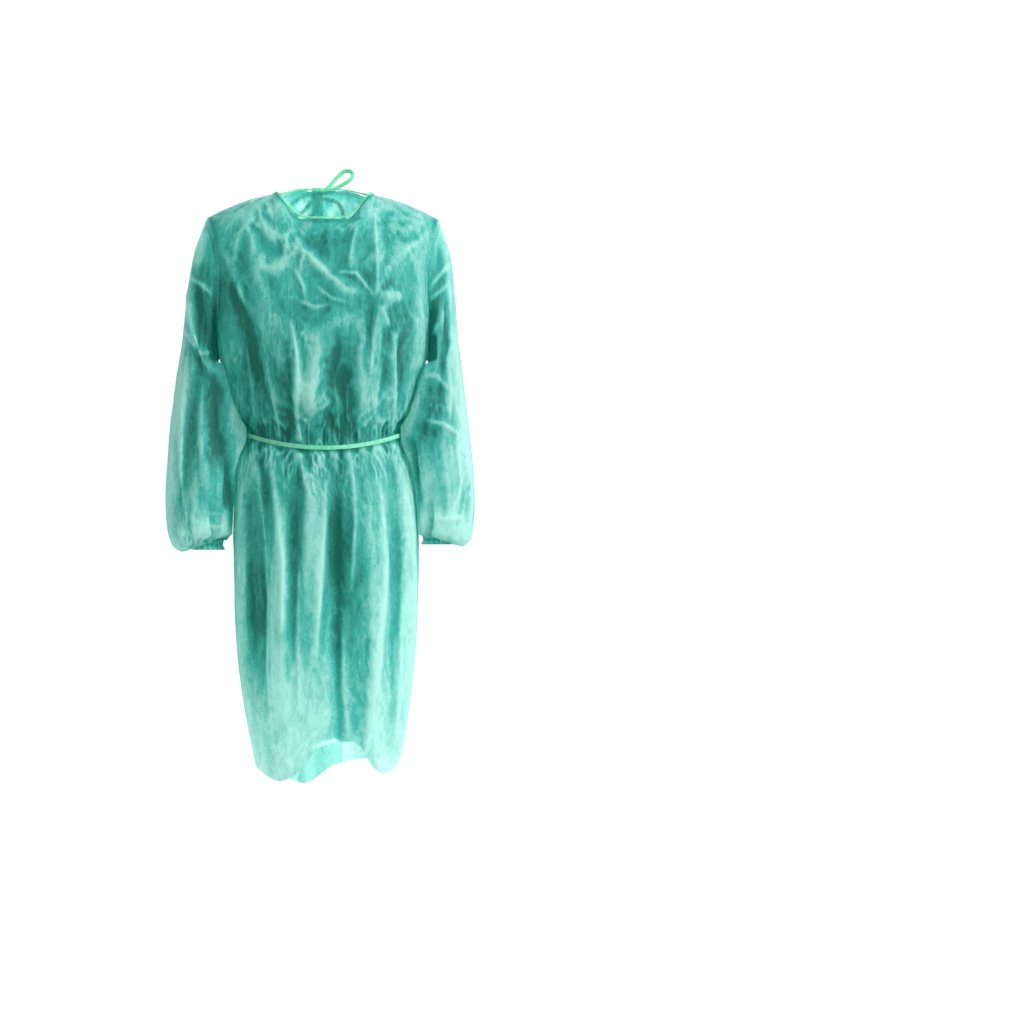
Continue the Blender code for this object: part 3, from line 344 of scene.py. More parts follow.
frontCreases = [
    (6.0, 9.0, 1.5, [(262, 226), (284, 240), (308, 254), (330, 275), (345, 288), (370, 293)]),
    (-4.0, 11.0, 2.0, [(300, 236), (325, 254), (342, 272)]),
    (4.0, 3.2, 1.3, [(338, 270), (356, 272), (364, 282), (371, 291)]),
    (3.2, 3.6, 1.3, [(374, 212), (377, 250), (378, 290)]),
    (-2.6, 7.0, 2.0, [(386, 214), (390, 250), (392, 280)]),
    (3.6, 4.0, 1.4, [(357, 222), (352, 245), (350, 264)]),
    (5.0, 8.0, 2.0, [(380, 292), (392, 297), (402, 296)]),
    (4.0, 4.5, 1.4, [(379, 308), (373, 340), (368, 382)]),
    (4.6, 4.0, 1.3, [(382, 308), (393, 336), (394, 380), (393, 417), (388, 434)]),
    (-3.4, 6.0, 2.0, [(385, 330), (384, 372), (380, 414)]),
    (4.0, 4.5, 1.4, [(206, 228), (213, 242), (226, 262)]),
    (-3.0, 6.0, 2.0, [(214, 236), (222, 262), (226, 290)]),
    (3.4, 3.4, 1.4, [(239, 283), (243, 296), (248, 308)]),
    (3.6, 4.5, 1.5, [(248, 352), (253, 384), (256, 414)]),
    (4.4, 4.2, 1.4, [(268, 362), (276, 400), (281, 442)]),
    (5.4, 4.4, 1.3, [(292, 322), (297, 352), (298, 400), (299, 446)]),
    (-4.4, 6.0, 2.0, [(287, 334), (290, 380), (292, 432)]),
    (4.4, 8.0, 1.8, [(318, 330), (314, 372), (309, 404), (303, 440)]),
    (-4.0, 8.0, 2.0, [(338, 326), (336, 368), (330, 414)]),
    (4.0, 6.5, 1.8, [(362, 322), (360, 362), (361, 404), (360, 440)]),
    (3.0, 4.0, 1.5, [(334, 388), (337, 414), (340, 444)]),
    (5.0, 4.0, 1.3, [(298, 450), (302, 466), (306, 486)]),
    (4.2, 4.5, 1.5, [(270, 452), (276, 500), (281, 560), (281, 628)]),
    (4.4, 5.0, 1.5, [(322, 452), (325, 486), (321, 560), (315, 664)]),
    (-3.6, 7.0, 2.0, [(334, 456), (336, 500), (333, 580)]),
    (4.0, 4.0, 1.4, [(348, 452), (353, 480), (356, 520), (352, 590)]),
    (4.6, 5.0, 1.4, [(370, 448), (381, 496), (386, 560), (384, 600), (376, 680), (369, 736),
                     (362, 766)]),
    (-3.8, 7.0, 2.0, [(392, 470), (398, 540), (396, 640)]),
    (4.6, 5.0, 1.4, [(256, 470), (266, 540), (271, 600), (271, 664), (276, 730), (282, 778)]),
    (-3.4, 8.0, 2.0, [(248, 500), (252, 590), (258, 690)]),
    (3.2, 5.0, 1.5, [(300, 560), (298, 640), (300, 712)]),
    (3.4, 5.0, 1.5, [(344, 612), (345, 680), (349, 748)]),
    (3.0, 4.0, 1.5, [(402, 600), (398, 680), (392, 742)]),
    (5.0, 5.0, 1.6, [(316, 747), (334, 741), (349, 751)]),
    (2.6, 3.2, 1.4, [(300, 300), (314, 306), (330, 304)]),
    (2.4, 3.0, 1.4, [(318, 286), (331, 297), (347, 301)]),
    (2.4, 3.0, 1.4, [(296, 270), (303, 284), (306, 300)]),
]

backCreases = [
    (4.0, 4.5, 1.4, [(641, 208), (646, 240), (649, 300), (652, 350), (664, 424)]),
    (4.0, 5.0, 1.5, [(618, 212), (606, 250), (606, 290), (612, 330)]),
    (-3.4, 7.0, 2.0, [(630, 216), (630, 270), (636, 340), (648, 410)]),
    (3.4, 4.0, 1.5, [(668, 206), (672, 270), (676, 350), (682, 420)]),
    (4.2, 4.5, 1.4, [(776, 212), (766, 258), (755, 330), (751, 424)]),
    (4.2, 4.0, 1.4, [(786, 212), (784, 270), (781, 330), (775, 400)]),
    (-3.2, 6.0, 2.0, [(768, 226), (758, 300), (742, 400)]),
    (3.4, 4.5, 1.5, [(800, 240), (792, 300), (786, 370)]),
    (3.0, 4.0, 1.5, [(700, 200), (700, 240), (694, 300)]),
    (3.6, 4.5, 1.5, [(640, 380), (650, 410), (660, 432)]),
    (3.6, 4.0, 1.5, [(690, 360), (698, 400), (706, 430)]),
    (4.4, 4.5, 1.5, [(654, 440), (646, 500), (640, 600), (638, 700)]),
    (4.2, 4.5, 1.5, [(676, 440), (672, 500), (668, 600)]),
    (-3.6, 7.0, 2.0, [(664, 444), (658, 520), (654, 620)]),
    (4.2, 4.0, 1.4, [(750, 440), (757, 500), (758, 600), (752, 700)]),
    (3.6, 4.0, 1.5, [(770, 440), (780, 520), (786, 620), (782, 700)]),
    (3.0, 5.0, 1.6, [(734, 661), (750, 656), (766, 649)]),
    (3.2, 4.5, 1.5, [(700, 560), (698, 640), (700, 730)]),
    (3.4, 4.5, 1.5, [(626, 520), (624, 620), (628, 720)]),
]

sleeveCreases = {
    -1: [
        (4.6, 3.6, 1.4, [(183, 265), (190, 305), (195, 336), (206, 362), (216, 380), (231, 400)]),
        (-3.6, 6.0, 2.0, [(192, 262), (200, 300), (208, 340), (222, 372)]),
        (3.4, 3.2, 1.4, [(201, 355), (212, 353), (222, 356)]),
        (3.4, 3.2, 1.4, [(193, 280), (203, 286), (211, 294)]),
        (3.0, 3.0, 1.4, [(202, 513), (212, 514), (223, 518)]),
        (3.0, 3.0, 1.4, [(203, 525), (216, 528), (230, 534)]),
        (3.6, 4.0, 1.5, [(190, 360), (184, 410), (182, 470), (188, 520)]),
        (3.4, 4.0, 1.5, [(204, 372), (202, 430), (204, 500)]),
        (-3.2, 6.0, 2.0, [(214, 392), (214, 450), (214, 510)]),
        (3.4, 3.6, 1.5, [(226, 404), (230, 450), (228, 508)]),
        (3.4, 4.0, 1.5, [(212, 214), (206, 240), (200, 268)]),
        (2.8, 3.4, 1.4, [(186, 330), (194, 344), (200, 352)]),
        (4.2, 3.6, 1.4, [(449, 264), (438, 276), (428, 288)]),
        (4.2, 3.6, 1.4, [(447, 284), (436, 294), (428, 301)]),
        (4.0, 4.0, 1.4, [(446, 290), (440, 320), (432, 340), (424, 354)]),
        (-3.2, 6.0, 2.0, [(454, 300), (448, 340), (436, 372)]),
        (4.0, 3.4, 1.4, [(431, 421), (443, 424), (456, 433)]),
        (3.6, 3.6, 1.4, [(431, 440), (432, 470), (433, 508)]),
        (3.6, 4.0, 1.5, [(456, 440), (460, 480), (456, 520)]),
        (3.4, 4.0, 1.5, [(446, 350), (450, 390), (448, 420)]),
        (3.0, 3.4, 1.4, [(424, 370), (436, 376), (446, 388)]),
        (2.8, 3.0, 1.4, [(438, 516), (448, 520), (460, 518)]),
    ],
    1: [
        (4.2, 4.0, 1.4, [(585, 252), (598, 290), (610, 312), (622, 344), (630, 372)]),
        (3.6, 3.6, 1.4, [(574, 300), (584, 330), (600, 352)]),
        (-3.4, 6.0, 2.0, [(578, 276), (592, 320), (612, 364)]),
        (3.8, 4.0, 1.5, [(570, 360), (566, 420), (568, 490)]),
        (3.6, 4.0, 1.5, [(590, 380), (588, 440), (590, 510)]),
        (3.2, 3.4, 1.4, [(572, 412), (586, 416), (598, 426)]),
        (3.0, 3.0, 1.4, [(572, 520), (584, 524), (598, 522)]),
        (4.2, 4.0, 1.4, [(836, 262), (816, 296), (798, 330), (790, 360)]),
        (4.0, 4.0, 1.4, [(831, 308), (812, 336), (796, 364)]),
        (-3.2, 6.0, 2.0, [(838, 288), (820, 320), (802, 354)]),
        (3.8, 4.0, 1.5, [(842, 360), (846, 430), (842, 500)]),
        (3.6, 4.0, 1.5, [(822, 380), (824, 440), (824, 510)]),
        (3.2, 3.4, 1.4, [(812, 420), (826, 416), (840, 420)]),
        (3.0, 3.0, 1.4, [(812, 522), (826, 526), (842, 520)]),
    ],
}

paintedShadingGain = 1.35   # times the amounts listed below

# painted light and shade: where the cloth is painted paler (plus) or deeper (minus): (amount, radius
# across, radius down, x, y)
frontPaintedShading = [
    (-0.10, 30, 46, 218, 300), (-0.08, 16, 60, 252, 372), (-0.11, 18, 46, 342, 392),
    (-0.05, 12, 50, 285, 405), (-0.06, 20, 50, 392, 340), (-0.05, 40, 14, 325, 240),
    (0.08, 10, 40, 303, 395), (0.06, 12, 46, 372, 395), (0.05, 26, 22, 290, 262),
    (0.07, 8, 60, 281, 560), (0.07, 9, 80, 318, 560), (0.07, 8, 80, 386, 560),
    (-0.06, 14, 90, 258, 590), (-0.05, 10, 90, 299, 540), (-0.06, 14, 90, 345, 560),
    (0.07, 18, 120, 408, 600), (0.05, 30, 50, 300, 720), (-0.05, 12, 60, 352, 690),
]
backPaintedShading = [
    (-0.09, 22, 80, 630, 300), (-0.07, 16, 60, 690, 400), (-0.08, 20, 90, 770, 330),
    (0.06, 14, 60, 655, 300), (0.06, 14, 70, 735, 260), (-0.04, 22, 80, 700, 520),
    (0.09, 26, 120, 690, 650), (-0.03, 20, 90, 640, 600), (-0.03, 16, 110, 770, 620),
    (0.06, 12, 90, 795, 560), (0.06, 10, 90, 618, 560), (-0.05, 14, 50, 740, 470),
]
sleevePaintedShading = {
    -1: [(-0.16, 10, 60, 216, 350), (-0.10, 12, 60, 214, 470), (0.10, 9, 120, 180, 430),
         (-0.10, 9, 50, 434, 330), (0.14, 13, 120, 462, 420), (-0.08, 8, 60, 432, 440),
         (0.08, 22, 14, 205, 528), (0.10, 20, 16, 452, 525), (-0.06, 8, 60, 196, 300)],
    1: [(0.10, 10, 130, 566, 400), (-0.08, 14, 90, 600, 400), (0.10, 10, 130, 846, 400),
        (-0.08, 14, 90, 812, 400)],
}


def paintedShadingAt(points, normals, facing, paintedSpots):
    # painted light and shade: soft blobs placed where they show in the front or the back view
    px, py = seenFrom(points, facing)
    turned = smoothStep(normals[..., 1] * facing, -0.15, 0.35)
    total = np.zeros(px.shape)
    for amount, wide, tall, x, y in paintedSpots:
        total += paintedShadingGain * amount * np.exp(-((px - x) / wide) ** 2 - ((py - y) / tall) ** 2)
    return total * turned


def paintedSideShading(normals, hand, reach):
    # painted light and shade by how far the cloth is turned to one side; turned to the side, the cloth
    # has only light behind it, so it is painted paler there
    return reach * smoothStep(normals[..., 0] * hand, 0.45, 0.98)


print("creases and tones listed")


# finishes

def linear(hexColour):
    values = []
    for k in (0, 2, 4):
        c = int(hexColour[k:k + 2], 16) / 255
        values.append(c / 12.92 if c <= 0.04045 else ((c + 0.055) / 1.055) ** 2.4)
    return (*values, 1.0)


def addNode(tree, kind, settings):
    # each setting is the node's own, the value of one of its sockets, or a link to that socket
    node = tree.nodes.new(kind)
    for name, value in settings.items():
        if name == "stops":
            ramp = node.color_ramp.elements
            ramp[0].position, ramp[0].color = value[0]
            ramp[1].position, ramp[1].color = value[-1]
            for position, colour in value[1:-1]:
                ramp.new(position).color = colour
        elif isinstance(value, bpy.types.NodeSocket):
            tree.links.new(value, node.inputs[name])
        elif isinstance(name, str) and hasattr(node, name):
            setattr(node, name, value)
        else:
            node.inputs[name].default_value = value
    return node


def newMaterial(name):
    material = bpy.data.materials.new(name)
    material.use_nodes = True
    material.node_tree.nodes.clear()
    return material, material.node_tree


cloth = {
    "deep": "056c62",        # where the web of fibres lies thick, and where shade is painted
    "middle": "45b9ae",
    "pale": "cff9f4",        # where it is thin and lets light through, and where light is painted
    "sheen": "c9fff0",
    "clear": "c8f4ea",
    "paintedShadingAt": (0.35, 0.51, 0.70),    # how pale the web and its painted shading are for the deep, middle and pale colours
    "webBase": 0.195,        # paleness of the web, and what each pattern adds to it
    "cloudShare": 0.22,
    "blotchShare": 0.20,
    "fibreShare": 0.22,
    "cloudMm": 46,           # size of the clouds of thick and thin web
    "blotchMm": 11,
    "fibreMm": 2.4,          # real filaments are 0.02 mm; drawn coarser so that they show
    "bondMm": 3.2,           # real bond points are 1.6 mm apart; drawn coarser so that they show
    "creaseMm": 24,          # size of the small flat faces between handling creases
    "drawnOut": 0.42,        # the patterns are longer down the cloth, the way it is drawn
    "throughLight": 0.46,    # share of light that goes through the web
    "clearFrom": (0.40, 0.02),    # paleness, and the share of the cloth that is open there
    "clearTo": (0.66, 0.14),
    "seamMm": 8.0,           # the allowance that shows through along each sewn edge
    "seamDeeper": 0.035,
    "stitchMm": 5.0,
    "stitchAt": 0.94,        # where the stitches run across the allowance, as a share of it
    "stitchLong": 0.36,      # gap between two stitches, as a share of a half stitch
    "stitchDeeper": 0.05,
    "hemFrom": -0.72,        # from here down the cloth is painted paler, for the light that shows through its one layer
    "hemTo": -1.12,
    "hemPaintedPaler": 0.115,
}


def spunbondPolypropylene():
    # spunbond polypropylene, calendered: a cloudy web of filaments with rows of bond points,
    # matt with a faint sheen, and thin enough to glow when it is lit from behind
    material, tree = newMaterial("spunbondPolypropylene")
    place = addNode(tree, "ShaderNodeTexCoord", {})
    flat, solid = place.outputs["UV"], place.outputs["Object"]
    upright = addNode(tree, "ShaderNodeMapping",
                      {"Vector": solid, "Scale": (1, 1, cloth["drawnOut"])}).outputs[0]
    cloud = addNode(tree, "ShaderNodeTexNoise",
                    {"Vector": upright, "Scale": 1000 / cloth["cloudMm"], "Detail": 3.0,
                     "Roughness": 0.5, "Distortion": 0.3})
    blotch = addNode(tree, "ShaderNodeTexNoise",
                     {"Vector": upright, "Scale": 1000 / cloth["blotchMm"], "Detail": 4.0,
                      "Roughness": 0.6, "Distortion": 0.9})
    fibre = addNode(tree, "ShaderNodeTexNoise",
                    {"Vector": solid, "Scale": 1000 / cloth["fibreMm"], "Detail": 3.0,
                     "Roughness": 0.7, "Distortion": 1.4})
    webAndPaintedShading = cloth["webBase"]
    for pattern, share in ((cloud, "cloudShare"), (blotch, "blotchShare"), (fibre, "fibreShare")):
        webAndPaintedShading = addNode(tree, "ShaderNodeMath",
                      {"operation": "MULTIPLY_ADD", 0: pattern.outputs["Fac"], 1: cloth[share],
                       2: webAndPaintedShading}).outputs[0]
    # painted light and shade carried on the mesh, and a painted paler hem, are added to the web
    paintedShadingNode = addNode(tree, "ShaderNodeAttribute", {"attribute_name": "folded"})
    height = addNode(tree, "ShaderNodeSeparateXYZ", {"Vector": solid})
    paintedHemGlow = addNode(tree, "ShaderNodeMapRange",
                  {"interpolation_type": "SMOOTHSTEP", "Value": height.outputs["Z"],
                   "From Min": cloth["hemFrom"], "From Max": cloth["hemTo"], "To Min": 0.0,
                   "To Max": cloth["hemPaintedPaler"]})
    for added in (paintedShadingNode.outputs["Fac"], paintedHemGlow.outputs[0]):
        webAndPaintedShading = addNode(tree, "ShaderNodeMath", {"operation": "ADD", 0: webAndPaintedShading, 1: added}).outputs[0]

    # a band and a row of stitches along each sewn edge
    fromSeam = addNode(tree, "ShaderNodeAttribute", {"attribute_name": "fromSeam"}).outputs["Fac"]
    seam, stitchLength = cloth["seamMm"] * 0.001, cloth["stitchMm"] * 0.001
    band = addNode(tree, "ShaderNodeMath", {"operation": "LESS_THAN", 0: fromSeam, 1: seam})
    run = addNode(tree, "ShaderNodeSeparateXYZ", {"Vector": flat})
    along = addNode(tree, "ShaderNodeMath",
                    {"operation": "ADD", 0: run.outputs["Y"], 1: run.outputs["X"]})
    along = addNode(tree, "ShaderNodeMath",
                    {"operation": "PINGPONG", 0: along.outputs[0], 1: stitchLength / 2})
    dash = addNode(tree, "ShaderNodeMath",
                   {"operation": "GREATER_THAN", 0: along.outputs[0],
                    1: stitchLength / 2 * cloth["stitchLong"]})
    line = addNode(tree, "ShaderNodeMath",
                   {"operation": "COMPARE", 0: fromSeam, 1: seam * cloth["stitchAt"], 2: 0.00045})
    stitch = addNode(tree, "ShaderNodeMath",
                     {"operation": "MULTIPLY", 0: line.outputs[0], 1: dash.outputs[0]}).outputs[0]
    for mark, deeper in ((band.outputs[0], "seamDeeper"), (stitch, "stitchDeeper")):
        webAndPaintedShading = addNode(tree, "ShaderNodeMath",
                      {"operation": "MULTIPLY_ADD", 0: mark, 1: -cloth[deeper], 2: webAndPaintedShading}).outputs[0]
    stops = [(at, linear(cloth[name])) for at, name in zip(cloth["paintedShadingAt"], ("deep", "middle", "pale"))]
    colour = addNode(tree, "ShaderNodeValToRGB", {"Fac": webAndPaintedShading, "stops": stops}).outputs["Color"]

    # relief too fine for the mesh: handling creases, filaments, bond points and stitches
    crumple = addNode(tree, "ShaderNodeTexVoronoi",
                      {"feature": "DISTANCE_TO_EDGE", "Vector": upright,
                       "Scale": 1000 / cloth["creaseMm"], "Randomness": 1.0})
    bond = addNode(tree, "ShaderNodeTexVoronoi",
                   {"feature": "F1", "Vector": flat, "Scale": 1000 / cloth["bondMm"],
                    "Randomness": 0.12})
    black, white = (0, 0, 0, 1), (1, 1, 1, 1)
    edges = addNode(tree, "ShaderNodeValToRGB",
                    {"Fac": crumple.outputs["Distance"], "stops": [(0.0, black), (0.20, white)]})
    dots = addNode(tree, "ShaderNodeValToRGB",
                   {"Fac": bond.outputs["Distance"], "stops": [(0.10, black), (0.34, white)]})
    creased = addNode(tree, "ShaderNodeBump",
                      {"Strength": 0.30, "Distance": 0.0018, "Height": edges.outputs["Color"]})
    webbed = addNode(tree, "ShaderNodeBump",
                     {"Strength": 0.45, "Distance": 0.0007, "Height": fibre.outputs["Fac"],
                      "Normal": creased.outputs[0]})
    bonded = addNode(tree, "ShaderNodeBump",
                     {"Strength": 0.35, "Distance": 0.0003, "Height": dots.outputs["Color"],
                      "Normal": webbed.outputs[0]})
    sewn = addNode(tree, "ShaderNodeBump",
                   {"invert": True, "Strength": 0.8, "Distance": 0.0008, "Height": stitch,
                    "Normal": bonded.outputs[0]})

    surface = addNode(tree, "ShaderNodeBsdfPrincipled",
                      {"Base Color": colour, "Roughness": 0.55, "IOR": 1.49,
                       "Specular IOR Level": 0.4, "Sheen Weight": 0.25, "Sheen Roughness": 0.35,
                       "Sheen Tint": linear(cloth["sheen"]), "Normal": sewn.outputs[0]})
    glow = addNode(tree, "ShaderNodeBsdfTranslucent",
                   {"Color": colour, "Normal": creased.outputs[0]})
    lit = addNode(tree, "ShaderNodeMixShader",
                  {"Fac": cloth["throughLight"], 1: surface.outputs[0], 2: glow.outputs[0]})
    clear = addNode(tree, "ShaderNodeBsdfTransparent", {"Color": linear(cloth["clear"])})
    thin = addNode(tree, "ShaderNodeMapRange",
                   {"Value": webAndPaintedShading, "From Min": cloth["clearFrom"][0],
                    "From Max": cloth["clearTo"][0], "To Min": cloth["clearFrom"][1],
                    "To Max": cloth["clearTo"][1]})
    mixed = addNode(tree, "ShaderNodeMixShader",
                    {"Fac": thin.outputs[0], 1: lit.outputs[0], 2: clear.outputs[0]})
    addNode(tree, "ShaderNodeOutputMaterial", {"Surface": mixed.outputs[0]})
    return material


strip = {
    "deep": "35c79a",
    "pale": "a4f7d4",
    "cloudsPerMetre": 60,
    "fibresPerMetre": 520,   # drawn coarser than real so that the filaments show
    "throughLight": 0.2,
}


def foldedBindingStrip():
    # the same web slit and folded double, so it is denser, brighter and slightly yellower
    material, tree = newMaterial("foldedBindingStrip")
    place = addNode(tree, "ShaderNodeTexCoord", {}).outputs["Object"]
    cloud = addNode(tree, "ShaderNodeTexNoise",
                    {"Vector": place, "Scale": strip["cloudsPerMetre"], "Detail": 4.0,
                     "Roughness": 0.6})
    fibre = addNode(tree, "ShaderNodeTexNoise",
                    {"Vector": place, "Scale": strip["fibresPerMetre"], "Detail": 3.0,
                     "Distortion": 1.0})
    stops = [(0.15, linear(strip["deep"])), (0.80, linear(strip["pale"]))]
    colour = addNode(tree, "ShaderNodeValToRGB",
                     {"Fac": cloud.outputs["Fac"], "stops": stops}).outputs["Color"]
    bumped = addNode(tree, "ShaderNodeBump",
                     {"Strength": 0.35, "Distance": 0.0005, "Height": fibre.outputs["Fac"]})
    surface = addNode(tree, "ShaderNodeBsdfPrincipled",
                      {"Base Color": colour, "Roughness": 0.52, "IOR": 1.49, "Sheen Weight": 0.3,
                       "Sheen Roughness": 0.4, "Normal": bumped.outputs[0]})
    glow = addNode(tree, "ShaderNodeBsdfTranslucent", {"Color": colour})
    lit = addNode(tree, "ShaderNodeMixShader",
                  {"Fac": strip["throughLight"], 1: surface.outputs[0], 2: glow.outputs[0]})
    addNode(tree, "ShaderNodeOutputMaterial", {"Surface": lit.outputs[0]})
    return material


clothFinish = spunbondPolypropylene()
stripFinish = foldedBindingStrip()
print("finishes made")


# pieces

def meshFromGrid(name, grid, material, closed=False, values=None):
    rows, columns = grid.shape[:2]
    index = np.arange(rows * columns).reshape(rows, columns)
    right = np.roll(index, -1, axis=1) if closed else index[:, 1:]
    here = index if closed else index[:, :-1]
    quads = np.stack([here[:-1], right[:-1], right[1:], here[1:]], axis=-1).reshape(-1, 4)
    mesh = bpy.data.meshes.new(name)
    mesh.from_pydata(grid.reshape(-1, 3).tolist(), [], quads.tolist())
    mesh.polygons.foreach_set("use_smooth", [True] * len(quads))
    layer = mesh.uv_layers.new(name="flatCut")
    u = knotsAlong(np.concatenate([grid, grid[:, :1]], axis=1) if closed else grid, 1)
    v = knotsAlong(grid, 0)
    us = np.stack([u[:-1], u[1:], u[1:], u[:-1]], axis=-1)
    us = np.broadcast_to(us[None], (rows - 1,) + us.shape)
    vs = np.stack([v[:-1], v[:-1], v[1:], v[1:]], axis=-1)[:, None, :]
    vs = np.broadcast_to(vs, us.shape)
    layer.data.foreach_set("uv", np.stack([us, -vs], axis=-1).reshape(-1))
    for label, numbers in (values or {}).items():
        layer = mesh.attributes.new(label, "FLOAT", "POINT")
        layer.data.foreach_set("value", numbers.reshape(-1).astype(np.float32))
    mesh.materials.append(material)
    mesh.update()
    piece = bpy.data.objects.new(name, mesh)
    bpy.context.scene.collection.objects.link(piece)
    return piece


beltPoints, _ = outerSkin("belt")


def nearBelt(points):
    flat = points.reshape(-1, 3)
    nearest = np.full(len(flat), 1e9)
    for start in range(0, len(flat), 20000):
        part = flat[start:start + 20000]
        gap = np.linalg.norm(part[:, None] - beltPoints[None], axis=2)
        nearest[start:start + 20000] = gap.min(axis=1)
    return nearest.reshape(points.shape[:-1])


crinkle = {
    "longMm": (19.0, 105.0),     # width and length of the soft upright ripples
    "longHeight": 0.0015,
    "longPatch": 0.13,           # size of the patches in which they are strong or weak
    "fineMm": (7.0, 24.0),       # and of the fine ones
    "fineHeight": 0.0006,
    "finePatch": 0.07,
    "wander": (0.09, 0.018),     # over what way, and how far, the ripples stray sideways
    "calmBelow": (-0.56, -0.80),   # the skirt hangs smoother from the first height to the second
    "calm": 0.55,
    "gatherMm": 8.0,             # spacing of the small gathers at the belt and the elastic
    "gatherHeight": 0.0042,
    "gatherLong": 0.09,
    "gatherFade": 0.034,         # how far they reach from the belt, and from the elastic
    "cuffFade": 0.030,
}


def ridged(points, seed):
    return 1 - 2 * np.abs(valueNoise(points, seed)) ** 0.8


def crinkleHeight(points, gathered):
    way, far = crinkle["wander"]
    warp = np.stack([valueNoise(points / way, 11), valueNoise(points / way, 12),
                     0 * points[..., 0]], axis=-1) * far
    strayed = points + warp
    wide, tall = (x * 0.001 for x in crinkle["longMm"])
    long = ridged(strayed / np.array([wide, wide, tall]), 21) * crinkle["longHeight"]
    patches = 0.3 + 0.7 * smoothStep(valueNoise(points / crinkle["longPatch"], 31), -0.35, 0.45)
    wide, tall = (x * 0.001 for x in crinkle["fineMm"])
    fine = ridged(strayed / np.array([wide, wide, tall]), 41) * crinkle["fineHeight"]
    patchesFine = smoothStep(valueNoise(points / crinkle["finePatch"], 51), -0.2, 0.5)
    calm = 1 - crinkle["calm"] * smoothStep(-points[..., 2], *(-z for z in crinkle["calmBelow"]))
    total = (long * patches + fine * patchesFine) * calm
    wide = crinkle["gatherMm"] * 0.001
    small = ridged(points / np.array([wide, wide, crinkle["gatherLong"]]), 61)
    return total + small * gathered * crinkle["gatherHeight"]


def fromEdges(grid, sides, top):
    # the way along the cloth to its nearest sewn edge
    rows, columns = grid.shape[:2]
    across = np.linalg.norm(np.diff(grid, axis=1), axis=2)
    fromStart = np.concatenate([np.zeros((rows, 1)), np.cumsum(across, axis=1)], axis=1)
    down = np.linalg.norm(np.diff(grid, axis=0), axis=2)
    fromTop = np.concatenate([np.zeros((1, columns)), np.cumsum(down, axis=0)])
    least = np.full((rows, columns), 1.0)
    if "start" in sides:
        least = np.minimum(least, fromStart)
    if "end" in sides:
        least = np.minimum(least, fromStart[:, -1:] - fromStart)
    if top:
        least = np.minimum(least, fromTop)
    return least


# the cloth is let settle with more width than the form has room for, so that it buckles

settle = {
    "spacing": 0.009,      # metres between the points that move
    "frames": 26,
    "extraRound": 1.10,    # width that the cloth has to spare, and length
    "extraDown": 1.02,
    "hold": 0.02,          # how firmly each point is drawn back to the form
    "most": 0.012,         # the furthest that a point may end from the form
    "gravity": 0.1,        # little, because the form already hangs
    "weave": {"quality": 6, "mass": 0.1, "air_damping": 4.0, "tension_stiffness": 20,
              "compression_stiffness": 20, "shear_stiffness": 4, "bending_stiffness": 0.5},
    "seamHeld": (0.004, 0.030),    # a sewn edge holds the cloth from the first to the second way
    "beltHeld": (0.008, 0.024),
    "cuffHeld": (0.004, 0.020),
}
settling = []


def startSettling(name, grid, pinned, closed=False):
    rows, columns = grid.shape[:2]
    body = meshFromGrid(name + "_settling", grid, None, closed)
    body.shape_key_add(name="Basis")
    wide = body.shape_key_add(name="cut")
    middle = np.array([tuple(axisPoint(name, Vector(p))) for p in grid.reshape(-1, 3)])
    spare = np.array([settle["extraRound"], settle["extraRound"], 1.0])
    cut = middle + (grid.reshape(-1, 3) - middle) * spare
    cut[:, 2] = grid.reshape(-1, 3)[:, 2] * settle["extraDown"]
    wide.data.foreach_set("co", cut.reshape(-1))
    held = body.vertex_groups.new(name="held")
    weights = np.maximum(pinned.reshape(-1), settle["hold"])
    for step in np.unique(np.round(weights, 2)):
        members = np.flatnonzero(np.round(weights, 2) == step)
        held.add(members.tolist(), float(min(step, 1.0)), "REPLACE")
    modifier = body.modifiers.new("settle", "CLOTH")
    modifier.settings.vertex_group_mass = "held"
    modifier.settings.rest_shape_key = wide
    for setting, value in settle["weave"].items():
        setattr(modifier.settings, setting, value)
    modifier.settings.effector_weights.gravity = settle["gravity"]
    modifier.collision_settings.use_collision = False
    modifier.collision_settings.use_self_collision = False
    modifier.point_cache.frame_start = 1
    modifier.point_cache.frame_end = settle["frames"]
    settling.append((name, body, grid))


def settleAll():
    moves = {}
    if settling:
        scene = bpy.context.scene
        for frameNumber in range(1, settle["frames"] + 1):
            scene.frame_set(frameNumber)
        graph = bpy.context.evaluated_depsgraph_get()
    for name, body, grid in settling:
        move = np.zeros(grid.shape)
        mesh = body.evaluated_get(graph).data
        places = np.empty(len(mesh.vertices) * 3)
        mesh.vertices.foreach_get("co", places)
        move = places.reshape(grid.shape) - grid
        length = np.linalg.norm(move, axis=2, keepdims=True)
        move *= np.tanh(length / settle["most"]) * settle["most"] / np.maximum(length, 1e-9)
        print("settled", name, "mean", round(float(length.mean()) * 1000, 2), "mm, most",
              round(float(length.max()) * 1000, 2))
        moves[name] = move
    for name, body, grid in settling:
        bpy.data.objects.remove(body)
    if settling:
        bpy.context.scene.frame_set(1)
    settling.clear()
    return moves


def spread(move, across, down, closed):
    # the moves of the coarse points, carried to the fine ones
    if closed:
        move = np.concatenate([move[:, -3:], move, move[:, :4]], axis=1)
    rows = np.arange(move.shape[0], dtype=float)
    columns = np.arange(move.shape[1], dtype=float)
    start, end = (3.0, columns[-1] - 3) if closed else (0.0, columns[-1])
    dense = cubicThrough(move, rows, np.linspace(0, rows[-1], down + 1))
    dense = cubicThrough(np.swapaxes(dense, 0, 1), columns, np.linspace(start, end, across + 1))
    dense = np.swapaxes(dense, 0, 1)
    return dense[:, :-1] if closed else dense


paintedFoldSteps = ((2, 0.0006, 0.050), (8, 0.0040, 0.100))   # for each: points to the side, bend, painted shading
